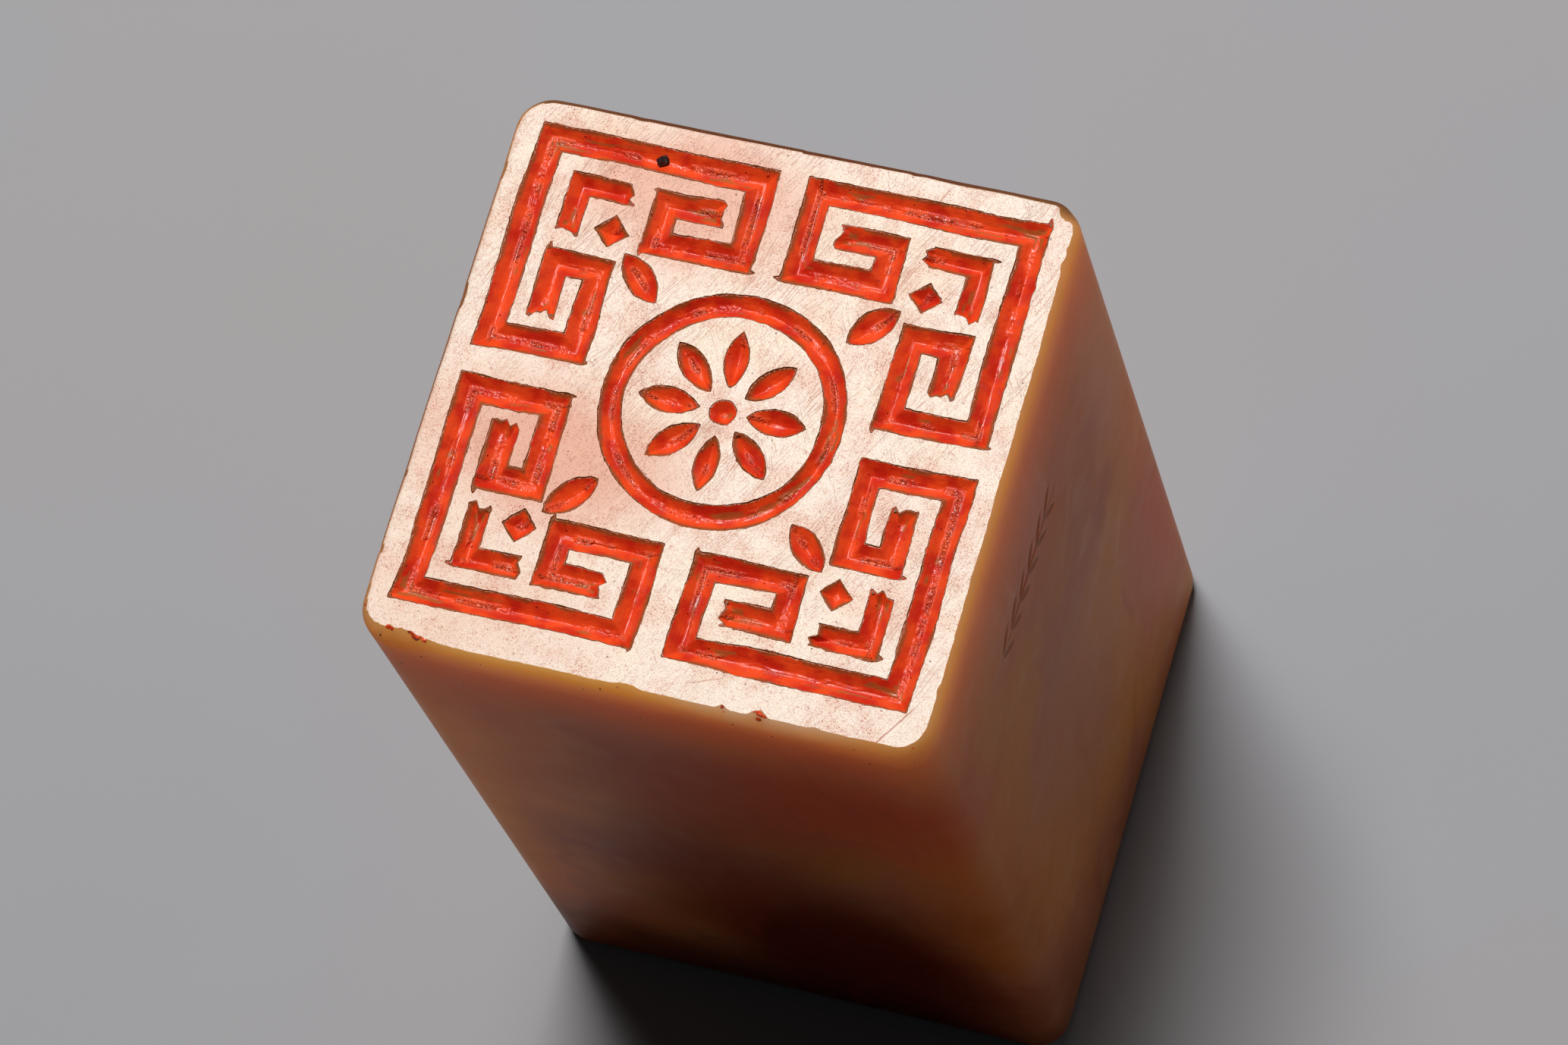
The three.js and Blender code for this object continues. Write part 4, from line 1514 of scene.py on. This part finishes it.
    def rim_mesh(self) -> MeshData:
        """Makes the rounded rim around the face, down to where the flat sides start.

        The face was ground flat after the edge was rounded, so the round starts with a crisp corner.

        Returns:
            The rim.
        """
        first = self.shape.first_tilt(self.around_u)
        top = self.shape.length
        radius = self.rim / (1 - np.sin(first))
        rows = []
        for share in np.linspace(0, 1, self.shape.rim_rows + 1):
            angle = first + (math.pi / 2 - first) * share
            drop = np.minimum(radius * (np.cos(first) - np.cos(angle)), self.side_top - 0.05)
            rows.append(self.row(radius * (1 - np.sin(angle)), top - drop))
        rows.append(self.row(0.0, top - self.side_top))
        made = self.bands(rows)
        down = top - made.points[:, 2]
        soft = (1 - self.shape.crispness(self.around_u)) * (1 - 0.86 * self.shape.behind(self.around_u))
        reach = np.tile(0.012 + 0.22 * soft, len(rows))
        made.values = self.values(len(down), ground=np.clip(1 - down / reach, 0, 1))
        return made

    def side_mesh(self) -> MeshData:
        """Makes the four sides as one unrolled sheet, with the spray scratched into the right one."""
        shape, spray = self.shape, self.spray
        high, low = shape.length - self.side_top, shape.end_rim
        sheet = FlatSheet()
        loop = np.append(self.around_u, shape.girth)
        for height in (high, low):
            sheet.chain(np.c_[loop, np.full(len(loop), height)])
        levels = np.linspace(low, high, self.side_rows)[1:-1]
        columns = [0.0, shape.girth]
        for start, run in zip(shape.starts[1:-1:2], shape.runs[1:-1:2]):
            columns.extend(np.linspace(start, start + run, self.arc_columns))
        for column in columns:
            sheet.chain(np.c_[np.full(len(levels), column), levels])
        right = shape.starts[6] + shape.depth / 2 - shape.edge_radius
        middle = np.array([right, shape.length - spray.drop])
        reach, rise = spray.length / 2 + spray.margin, spray.leaf_length + spray.margin
        ys = np.arange(spray.shift - reach, spray.shift + reach, self.spray_grid)
        zs = np.arange(-rise, rise, self.spray_grid)
        lines = Contours(ys, zs, spray.surface(*np.meshgrid(ys, zs))[0])
        for level in self.spray_levels:
            found, joins = lines.at(level)
            sheet.add(found + middle, joins)
        flat, faces = sheet.filled()
        outline, outward = shape.around(flat[:, 0])
        for height in (low, high):
            on_row = np.abs(flat[:, 1] - height) < 1e-4
            index = np.round(flat[on_row, 0] * shape.count / shape.girth).astype(int) % shape.count
            outline[on_row], outward[on_row] = self.outline[index], self.outward[index]
            flat[on_row, 1] = height
        y, z = (flat - middle).T
        away, depth = spray.surface(y, z)
        on_right = np.abs(y) < shape.depth / 2
        away, depth = np.where(on_right, away, 9.0), np.where(on_right, depth, 0.0)
        solid = np.c_[outline - outward * depth[:, None], flat[:, 1]]
        return MeshData(solid, faces, self.values(len(solid), etched=smoothstep(0.04, -0.06, away)))

    def end_mesh(self) -> MeshData:
        """Makes the rounded edge and the flat of the plain end."""
        radius = self.shape.end_rim
        angles = np.linspace(math.pi / 2, 0, self.end_rows)
        made = self.bands([self.row(radius * (1 - math.sin(a)), radius * (1 - math.cos(a))) for a in angles])
        count, middle = len(self.outline), len(made.points)
        index = np.arange(count)
        last = middle - count
        cap = np.c_[last + index, np.full(count, middle), last + np.roll(index, -1)]
        made.points = np.r_[made.points, [[0.0, 0.0, 0.0]]]
        made.faces = np.r_[made.faces, cap]
        made.values = self.values(len(made.points))
        return made

    def build(self, face_finish: Material, side_finish: Material) -> None:
        """Makes the stone and puts it in the place of its CAD node.

        Args:
            face_finish: The material of the ground and carved face.
            side_finish: The material of the rim, the sides and the plain end.
        """
        self.face = self.face_mesh()
        made = MeshData.joined([self.face, self.rim_mesh(), self.side_mesh(), self.end_mesh()]).welded()
        stone = made.to_object("carved_stone", face_finish, crease=24.0)
        stone.data.materials.append(side_finish)
        on_side = made.values["ground"][made.faces].min(axis=1) < 0.45
        stone.data.polygons.foreach_set("material_index", on_side.astype(np.int32))
        lowest = made.points[made.faces][:, :, 2].min(axis=1) - self.shape.length
        stone.data.polygons.foreach_set("use_smooth", lowest < -0.0001)
        settled(stone, "stone_body")


# The paste


@dataclass
class PasteDeposits:
    """The red paste that lines the cuts, one deposit in each.

    Attributes:
        carving: The carving whose cuts are lined.
        step: Distance between the points of a deposit.
        retreat: How far the paste stays back from the edge of its cut.
        valley: Depth of the paste's surface along the middle of a stroke.
        skin: Thickness at its own edge.
        fillet: Rounding of the valley's bottom, as a share of half the stroke.
        margin: How far past its place a cut is searched for paste.
    """

    carving: Carving
    step: float = 0.052
    retreat: float = 0.042
    valley: float = 0.54
    skin: float = 0.012
    fillet: float = 0.12
    margin: float = 0.3

    def cover(self, distance: Array, x: Array, y: Array) -> Array:
        """Gives the signed distance to the edge of the paste, from that to the edge of its cut."""
        creep = 0.03 * Noise(0.9, 71).signed(x, y) + 0.02 * Noise(0.16, 72).signed(x, y)
        return distance + self.retreat + creep

    def wiped(self, motif: Motif, distance: Array, x: Array, y: Array) -> Array:
        """Gives how thin the paste was wiped, in long patches on the walls.

        Args:
            motif: The cut.
            distance: Signed distance to the edge of the cut.
            x: Positions across the face.
            y: Positions up the face.

        Returns:
            Values from 0 to 1.
        """
        along, across = motif.flow(x, y)
        patch = Noise(1.0, 81)(along / 2.1, across / 0.3 + 7.0)
        patch = 0.7 * patch + 0.3 * Noise(1.0, 82)(along / 0.6, across / 0.12)
        share = -distance / (motif.stroke / 2)
        on_wall = smoothstep(0.3, 0.5, share) * (1 - smoothstep(0.94, 1.0, share))
        return smoothstep(0.66, 0.82, patch) * on_wall * (len(motif.spine) > 2)

    def surface(self, motif: Motif, distance: Array, cover: Array, x: Array, y: Array) -> Array:
        """Gives the height of the paste, a valley with drag marks, lumps and a ridge along its bottom.

        Args:
            motif: The cut that it lines.
            distance: Signed distance to the edge of the cut.
            cover: Signed distance to the edge of the paste.
            x: Positions across the face.
            y: Positions up the face.

        Returns:
            Heights from the face.
        """
        along, across = motif.flow(x, y)
        inner = np.clip(-distance / (motif.stroke / 2), 0, 1)
        firm = smoothstep(0.0, 0.18, -cover)
        bottom = smoothstep(0.62, 0.95, inner)
        drag = 0.008 * Noise(1.0, 73).signed(along / 1.1, across / 0.09)
        lumpy = smoothstep(0.35, 0.7, Noise(2.3, 80)(x, y))
        lumps = (0.024 * Noise(0.45, 75).signed(x, y) + 0.014 * Noise(0.2, 76).signed(x, y)) * lumpy
        crumbly = smoothstep(0.42, 0.7, Noise(1.5, 77)(x, y)) * bottom
        crumbs = (np.abs(Noise(0.15, 78).signed(x, y)) * 0.1 + Noise(0.4, 83)(x, y) * 0.07) * crumbly
        line = 0.09 * Noise(1.0, 84).signed(along / 0.9) + 0.05
        kept = smoothstep(0.4, 0.6, Noise(1.0, 85)(along / 1.6))
        ridge = 0.045 * np.exp(-((across - line) / 0.045) ** 2) * kept
        crease = np.hypot(1 - inner, self.fillet) - self.fillet
        vee = -self.valley * (1 - crease / (math.hypot(1, self.fillet) - self.fillet))
        return vee + self.skin + firm * (0.01 + drag + lumps + crumbs + ridge * bottom)

    def mesh(self, motif: Motif) -> MeshData:
        """Makes one deposit as a closed skin that lies on its cut."""
        hand, origin = self.carving.hand, self.carving.origin
        xs = np.arange(motif.low[0] - self.margin, motif.high[0] + self.margin, self.step)
        ys = np.arange(motif.low[1] - self.margin, motif.high[1] + self.margin, self.step)
        grid_x, grid_y = np.meshgrid(xs, ys)
        cover = self.cover(hand.distance(motif, grid_x, grid_y), grid_x, grid_y)
        inner = cover < -0.4 * self.step
        sheet = FlatSheet()
        sheet.add(*Contours(xs, ys, cover).at(0.0))
        sheet.add(np.c_[grid_x[inner], grid_y[inner]])
        flat, faces = sheet.filled()
        middle = flat[faces].mean(axis=1).T
        faces = faces[self.cover(hand.distance(motif, *middle), *middle) < 0.01]
        used, faces = np.unique(faces, return_inverse=True)
        faces = faces.reshape(-1, 3)
        x, y = flat[used].T
        distance = hand.distance(motif, x, y)
        cover = self.cover(distance, x, y)
        bare = self.carving.section.height(distance, motif.stroke)
        height = np.minimum(np.maximum(self.surface(motif, distance, cover, x, y), bare + 0.01), -0.004)
        points = np.r_[np.c_[x, y, height] + origin, np.c_[x, y, bare - 0.02] + origin]
        along, across = motif.flow(x, y)
        band = 0.06 + 0.24 * smoothstep(0.35, 0.75, Noise(1.1, 86)(x, y))
        values = {
            "thin": 1 - smoothstep(0.0, 1.0, -cover / band), "along": along, "across": across,
            "wiped": self.wiped(motif, distance, x, y),
        }
        shell = np.r_[faces, faces[:, ::-1] + len(x), self.wall_faces(faces, len(x))]
        return MeshData(points, shell, {name: np.tile(value, 2) for name, value in values.items()})

    @staticmethod
    def wall_faces(faces: Array, count: int) -> Array:
        """Closes the edge between a sheet and its copy underneath.

        Args:
            faces: The sheet's faces.
            count: How many points it has.

        Returns:
            The faces of the wall.
        """
        edges = np.concatenate([faces[:, [0, 1]], faces[:, [1, 2]], faces[:, [2, 0]]])
        keys = edges[:, 0] * (count + 1) + edges[:, 1]
        back = edges[:, 1] * (count + 1) + edges[:, 0]
        a, b = edges[~np.isin(keys, back)].T
        return np.r_[np.c_[b, a, a + count], np.c_[b, a + count, b + count]]

    def build(self, material: Material) -> None:
        """Makes every deposit and puts it in the place of its CAD node."""
        for motif in self.carving.motifs:
            settled(self.mesh(motif).to_object(f"deposit_{motif.name}", material), motif.node)


# The loose paste and the grain


class Scatter:
    """A Geometry Nodes tree that puts small uneven blobs on points."""

    def __init__(self, name: str, **numbers: float) -> None:
        """Makes a tree with a geometry input, number inputs, a material input and a geometry output.

        Args:
            name: The tree's name.
            **numbers: The number inputs by name, with their values.
        """
        self.tree = bpy.data.node_groups.new(name, "GeometryNodeTree")
        self.numbers = numbers
        self.tree.interface.new_socket("Geometry", in_out="INPUT", socket_type="NodeSocketGeometry")
        self.tree.interface.new_socket("Geometry", in_out="OUTPUT", socket_type="NodeSocketGeometry")
        self.inputs = {key: number_input(self.tree, key, value) for key, value in numbers.items()}
        made = self.tree.interface.new_socket("Material", in_out="INPUT", socket_type="NodeSocketMaterial")
        self.inputs["Material"] = made.identifier
        self.wiring = Wiring(self.tree)
        self.start = self.wiring.node("NodeGroupInput").outputs

    def random(self, low: Triple, high: Triple, seed: int) -> Socket:
        """Gives a random vector for each point."""
        inputs = {0: low, 1: high, "Seed": seed}
        return self.wiring.node("FunctionNodeRandomValue", inputs, data_type="FLOAT_VECTOR").outputs[0]

    def moved(self, points: Socket, offset: Value) -> Socket:
        """Moves each point by an offset."""
        made = self.wiring.node("GeometryNodeSetPosition", {"Geometry": points, "Offset": offset})
        return made.outputs["Geometry"]

    def blobs(self, points: Socket, flatness: float, seed: int) -> None:
        """Puts a blob on each point, realizes them and gives them the material.

        Args:
            points: The points.
            flatness: Height of a blob against its width.
            seed: Which sizes and turns they get.
        """
        wiring = self.wiring
        ball = wiring.node("GeometryNodeMeshIcoSphere", {"Radius": 1.0, "Subdivisions": 2}).outputs["Mesh"]
        spot = wiring.node("GeometryNodeInputPosition").outputs[0]
        turn = self.random((0.0, 0.0, 0.0), (0.4, 0.4, 6.28), seed)
        sizes = self.random((0.35, 0.35, 0.3 * flatness), (1.0, 1.0, flatness), seed + 1)
        made = wiring.node("GeometryNodeInstanceOnPoints", {
            "Points": points,
            "Instance": self.moved(ball, wiring.strewn(spot, 1.4, 1.1)),
            "Rotation": wiring.node("FunctionNodeEulerToRotation", {0: turn}).outputs[0],
            "Scale": wiring.vector("SCALE", sizes, self.start["Size"]),
        }).outputs[0]
        for kind in ("GeometryNodeRealizeInstances", "GeometryNodeSetShadeSmooth"):
            made = wiring.node(kind, {"Geometry": made}).outputs[0]
        inputs = {"Geometry": made, "Material": self.start["Material"]}
        wiring.node("NodeGroupOutput", {0: wiring.node("GeometryNodeSetMaterial", inputs).outputs[0]})

    def applied(self, name: str, base: bpy.types.Mesh, material: Material) -> Object:
        """Runs the tree on a mesh and keeps the result as a plain mesh.

        Args:
            name: The new object's name.
            base: The mesh that the tree starts from.
            material: The material of the blobs.

        Returns:
            The finished object, with no modifier left.
        """
        carrier = linked(name + "_base", base)
        modifier = carrier.modifiers.new("scatter", "NODES")
        modifier.node_group = self.tree
        for key, value in {**self.numbers, "Material": material}.items():
            modifier[self.inputs[key]] = value
        graph = bpy.context.evaluated_depsgraph_get()
        mesh = bpy.data.meshes.new_from_object(carrier.evaluated_get(graph))
        mesh.name = name
        bpy.data.objects.remove(carrier)
        return linked(name, mesh)


@dataclass
class StrayPaste:
    """Crumbs of paste in the bottoms of the cuts, and flecks of it on the bare stone and its rim.

    Attributes:
        crumb: Greatest radius of a crumb.
        crumb_spacing: Distance between crumbs along a stroke before most are left out.
        crumb_share: The value of a noise below which a crumb is left out.
        crumb_depth: How deep the crumbs lie in the wide strokes, and narrow_depth in the narrow ones.
        fleck: Greatest radius of a fleck on the bare stone.
        flecks: How many flecks lie on a square millimetre.
        rim_drops: Distance around the rim, depth below the face and size of the paste in its chips.
    """

    carving: Carving
    body: SealStone
    crumb: float = 0.075
    crumb_spacing: float = 0.16
    crumb_share: float = 0.52
    crumb_depth: float = 0.55
    narrow_depth: float = 0.5
    fleck: float = 0.04
    flecks: float = 1.1
    fleck_sink: float = 0.012
    drop_flatness: float = 0.7
    drop_rings: int = 9
    rim_drops: Tuple[Triple, ...] = (
        (42.1, 0.16, 0.24), (42.45, 0.12, 0.2), (43.3, 0.1, 0.3), (43.7, 0.13, 0.38), (44.1, 0.1, 0.24),
        (58.7, 0.12, 0.2), (58.8, 0.26, 0.13), (60.15, 0.1, 0.24), (60.45, 0.22, 0.38), (60.4, 0.4, 0.26),
        (60.8, 0.12, 0.22), (62.6, 0.3, 0.09), (68.0, 0.2, 0.09), (39.9, 0.12, 0.12), (53.6, 0.2, 0.09),
    )

    def spines(self) -> bpy.types.Mesh:
        """Draws the middle lines of the cuts at the height of their bottoms."""
        points, edges = [], []
        for motif in self.carving.motifs:
            start = len(points)
            x, y = np.array(motif.spine).T
            height = np.full(len(x), -self.crumb_depth if motif.stroke > 1.0 else -self.narrow_depth)
            points.extend((np.c_[x, y, height] + self.carving.origin).tolist())
            edges.extend((i, i + 1) for i in range(start, len(points) - 1))
            if motif.closed:
                edges.append((len(points) - 1, start))
        mesh = bpy.data.meshes.new("spines")
        mesh.from_pydata((np.array(points) * MM).tolist(), edges, [])
        return mesh

    def crumbs(self, material: Material) -> None:
        """Strews crumbs along the bottoms of the cuts."""
        numbers = {"Spacing": self.crumb_spacing * MM, "Size": self.crumb * MM, "Share": self.crumb_share}
        scatter = Scatter("paste_crumb_scatter", **numbers)
        start, wiring = scatter.start, scatter.wiring
        curve = wiring.node("GeometryNodeMeshToCurve", {"Mesh": start["Geometry"]}).outputs["Curve"]
        inputs = {"Curve": curve, "Length": start["Spacing"]}
        along = wiring.node("GeometryNodeCurveToPoints", inputs, mode="LENGTH").outputs["Points"]
        clusters = wiring.noise(wiring.node("GeometryNodeInputPosition").outputs[0], 900.0, 1.0)
        dropped = wiring.math("LESS_THAN", clusters, start["Share"])
        inputs = {"Geometry": along, "Selection": dropped}
        culled = wiring.node("GeometryNodeDeleteGeometry", inputs, domain="POINT").outputs["Geometry"]
        reach = 0.13 * MM
        offset = scatter.random((-reach, -reach, -reach * 0.2), (reach, reach, reach * 0.3), 5)
        scatter.blobs(scatter.moved(culled, offset), 0.8, 11)
        settled(scatter.applied("paste_crumbs", self.spines(), material))

    def land(self) -> bpy.types.Mesh:
        """Copies the bare stone between the cuts, for flecks to settle on."""
        made = self.body.face
        bare = (made.values["cut"] < 0.5) & (made.values["near_cut"] < 0.93)
        used, faces = np.unique(made.faces[bare[made.faces].all(axis=1)], return_inverse=True)
        mesh = bpy.data.meshes.new("land")
        mesh.from_pydata((made.points[used] * MM).tolist(), [], faces.reshape(-1, 3).tolist())
        return mesh

    def fleck_piece(self, material: Material) -> None:
        """Settles flecks on the bare stone."""
        numbers = {"Density": self.flecks / MM ** 2, "Size": self.fleck * MM}
        scatter = Scatter("paste_fleck_scatter", **numbers)
        inputs = {"Mesh": scatter.start["Geometry"], "Density": scatter.start["Density"], "Seed": 4}
        strewn = scatter.wiring.node("GeometryNodeDistributePointsOnFaces", inputs).outputs["Points"]
        scatter.blobs(scatter.moved(strewn, (0.0, 0.0, -self.fleck_sink * MM)), 0.28, 31)
        settled(scatter.applied("paste_flecks", self.land(), material))

    def drop(self, centre: Array, radius: float, seed: int) -> MeshData:
        """Makes a closed uneven ball.

        Args:
            centre: Its middle.
            radius: Its greatest radius.
            seed: Which lumps it gets.

        Returns:
            The mesh.
        """
        rings, around = self.drop_rings, 2 * self.drop_rings
        tilt = np.linspace(0, math.pi, rings + 2)[1:-1]
        turn = np.arange(around) * 2 * math.pi / around
        t, a = np.meshgrid(tilt, turn, indexing="ij")
        way = np.stack([np.sin(t) * np.cos(a), np.sin(t) * np.sin(a), np.cos(t)], -1).reshape(-1, 3)
        way = np.r_[way, [[0, 0, 1.0]], [[0, 0, -1.0]]]
        lumps = Noise(0.7, seed).signed(way[:, 0] + 1.3 * way[:, 2], way[:, 1] - 0.7 * way[:, 2])
        size = radius * np.array([1.0, 1.0, self.drop_flatness])
        faces = []
        for i in range(rings - 1):
            for j in range(around):
                a0, a1 = i * around + j, i * around + (j + 1) % around
                faces += [(a0, a0 + around, a1 + around), (a0, a1 + around, a1)]
        top, bottom, last = rings * around, rings * around + 1, (rings - 1) * around
        faces += [(top, j, (j + 1) % around) for j in range(around)]
        faces += [(bottom, last + (j + 1) % around, last + j) for j in range(around)]
        return MeshData(way * (0.78 + 0.3 * lumps)[:, None] * size + centre, np.array(faces))

    def rim_piece(self, material: Material) -> None:
        """Presses drops of paste into the chips of the rim."""
        shape = self.body.shape
        flat, outward = shape.around(np.array([drop[0] for drop in self.rim_drops]))
        parts = []
        for number, (place, out, (u, down, size)) in enumerate(zip(flat, outward, self.rim_drops)):
            inset = float(shape.rim_inset(np.array([u]), np.array([down]))[0])
            centre = np.r_[place - out * (inset + 0.72 * size), shape.length - down]
            parts.append(self.drop(centre, size, number + 7))
        made = MeshData.joined(parts)
        made.points[:, 2] = np.minimum(made.points[:, 2], shape.length - 0.012)
        made.values = {key: np.zeros(len(made.points)) for key in ("thin", "wiped", "along", "across")}
        settled(made.to_object("paste_rim_drops", material))

    def build(self, material: Material) -> None:
        """Makes the crumbs, the flecks and the drops."""
        self.crumbs(material)
        self.fleck_piece(material)
        self.rim_piece(material)


@dataclass
class GritGrain:
    """The dark grain stuck in the paste: a broken lump, larger than its CAD box by its swell."""

    corners: int = 22
    seed: int = 5
    swell: float = 1.25

    def build(self, material: Material) -> None:
        """Makes the grain about the middle of its CAD box."""
        low, high = node_box_mm("grit_grain")
        draw = np.random.default_rng(self.seed)
        way = draw.normal(size=(self.corners, 3))
        way /= np.linalg.norm(way, axis=1)[:, None]
        way *= draw.uniform(0.72, 1.0, self.corners)[:, None]
        span = way.max(axis=0) - way.min(axis=0)
        swollen = (high - low) * self.swell
        points = (low + high - swollen) / 2 + (way - way.min(axis=0)) / span * swollen
        mesh = bpy.data.meshes.new("grain")
        shell = bmesh.new()
        for point in points * MM:
            shell.verts.new(point)
        hull = bmesh.ops.convex_hull(shell, input=shell.verts)
        inner = [item for item in hull["geom_interior"] if isinstance(item, bmesh.types.BMVert)]
        bmesh.ops.delete(shell, geom=inner, context="VERTS")
        bmesh.ops.recalc_face_normals(shell, faces=shell.faces)
        shell.to_mesh(mesh)
        shell.free()
        mesh.materials.append(material)
        settled(linked("stuck_grain", mesh), "grit_grain")


# The studio


@dataclass(frozen=True)
class Lamp:
    """A square soft lamp, with its place and aim in millimetres and its power in watts."""

    name: str
    place: Triple
    aim: Triple
    size: float
    power: float

    def hang(self, colour: Triple) -> None:
        """Makes the lamp with light of a colour."""
        data = bpy.data.lights.new(self.name, "AREA")
        data.shape = "SQUARE"
        data.size = self.size * MM
        data.energy = self.power
        data.color = colour
        turn = (Vector(self.aim) - Vector(self.place)).to_track_quat("-Z", "Y").to_matrix().to_4x4()
        linked(self.name, data).matrix_world = Matrix.Translation(Vector(self.place) * MM) @ turn


@dataclass
class Studio:
    """The table, the lamps and the camera, whose place and directions are those of the photograph."""

    camera_place: Triple = (80.2, -93.78, 328.14)
    right: Triple = (0.945885, 0.277774, -0.167759)
    up: Triple = (-0.206552, 0.914099, 0.348941)
    lens: float = 150.67
    sensor: float = 36.0
    table_size: float = 6000.0
    lamp_colour: Triple = (1.0, 0.99, 0.975)
    lamps: Tuple[Lamp, ...] = (
        Lamp("key_softbox", (-96.0, 210.0, 630.0), (0.0, 0.0, 30.0), 200.0, 4.3),
        Lamp("side_softbox", (420.0, 330.0, 160.0), (0.0, 0.0, 20.0), 260.0, 0.2),
    )
    room_colour: Rgba = srgb(236, 240, 246)
    room_strength: float = 0.02

    def camera(self) -> None:
        """Stands the camera at the photograph's viewing angle."""
        data = bpy.data.cameras.new("camera")
        data.lens, data.sensor_width = self.lens, self.sensor
        data.clip_start, data.clip_end = 0.01, 20.0
        right, up = Vector(self.right).normalized(), Vector(self.up)
        up = (up - right * up.dot(right)).normalized()
        turn = Matrix((right, up, right.cross(up))).transposed().to_4x4()
        camera = linked("camera", data)
        camera.matrix_world = Matrix.Translation(Vector(self.camera_place) * MM) @ turn
        bpy.context.scene.camera = camera

    def room(self) -> None:
        """Gives a faint even light from all round."""
        world = bpy.data.worlds.new("room")
        world.use_nodes = True
        background = world.node_tree.nodes["Background"]
        background.inputs["Color"].default_value = self.room_colour
        background.inputs["Strength"].default_value = self.room_strength
        bpy.context.scene.world = world

    def table(self, material: Material) -> None:
        """Lays the pale table top under the stone."""
        half = self.table_size / 2
        corners = np.array([(-half, -half, 0), (half, -half, 0), (half, half, 0), (-half, half, 0)], float)
        floor = MeshData(corners, np.array([(0, 1, 2), (0, 2, 3)])).to_object("table_top", material)

    def build(self, table_material: Material) -> None:
        """Sets the whole studio up."""
        self.camera()
        self.table(table_material)
        for lamp in self.lamps:
            lamp.hang(self.lamp_colour)
        self.room()
        bpy.context.scene.view_settings.view_transform = "Standard"


def main() -> None:
    """Builds the seal and its studio in order."""
    logging.basicConfig(level=logging.INFO, format="%(name)s: %(message)s")
    effects = Effects()
    carving = Carving()
    stone, paste = StoneFinish(), PasteFinish().build(effects)
    body = SealStone(carving)
    body.build(stone.face(effects), stone.sides(effects))
    PasteDeposits(carving).build(paste)
    StrayPaste(carving, body).build(paste)
    GritGrain().build(GritFinish().build(effects))
    Studio().build(TableFinish().build(effects))


if __name__ == "__main__":
    main()
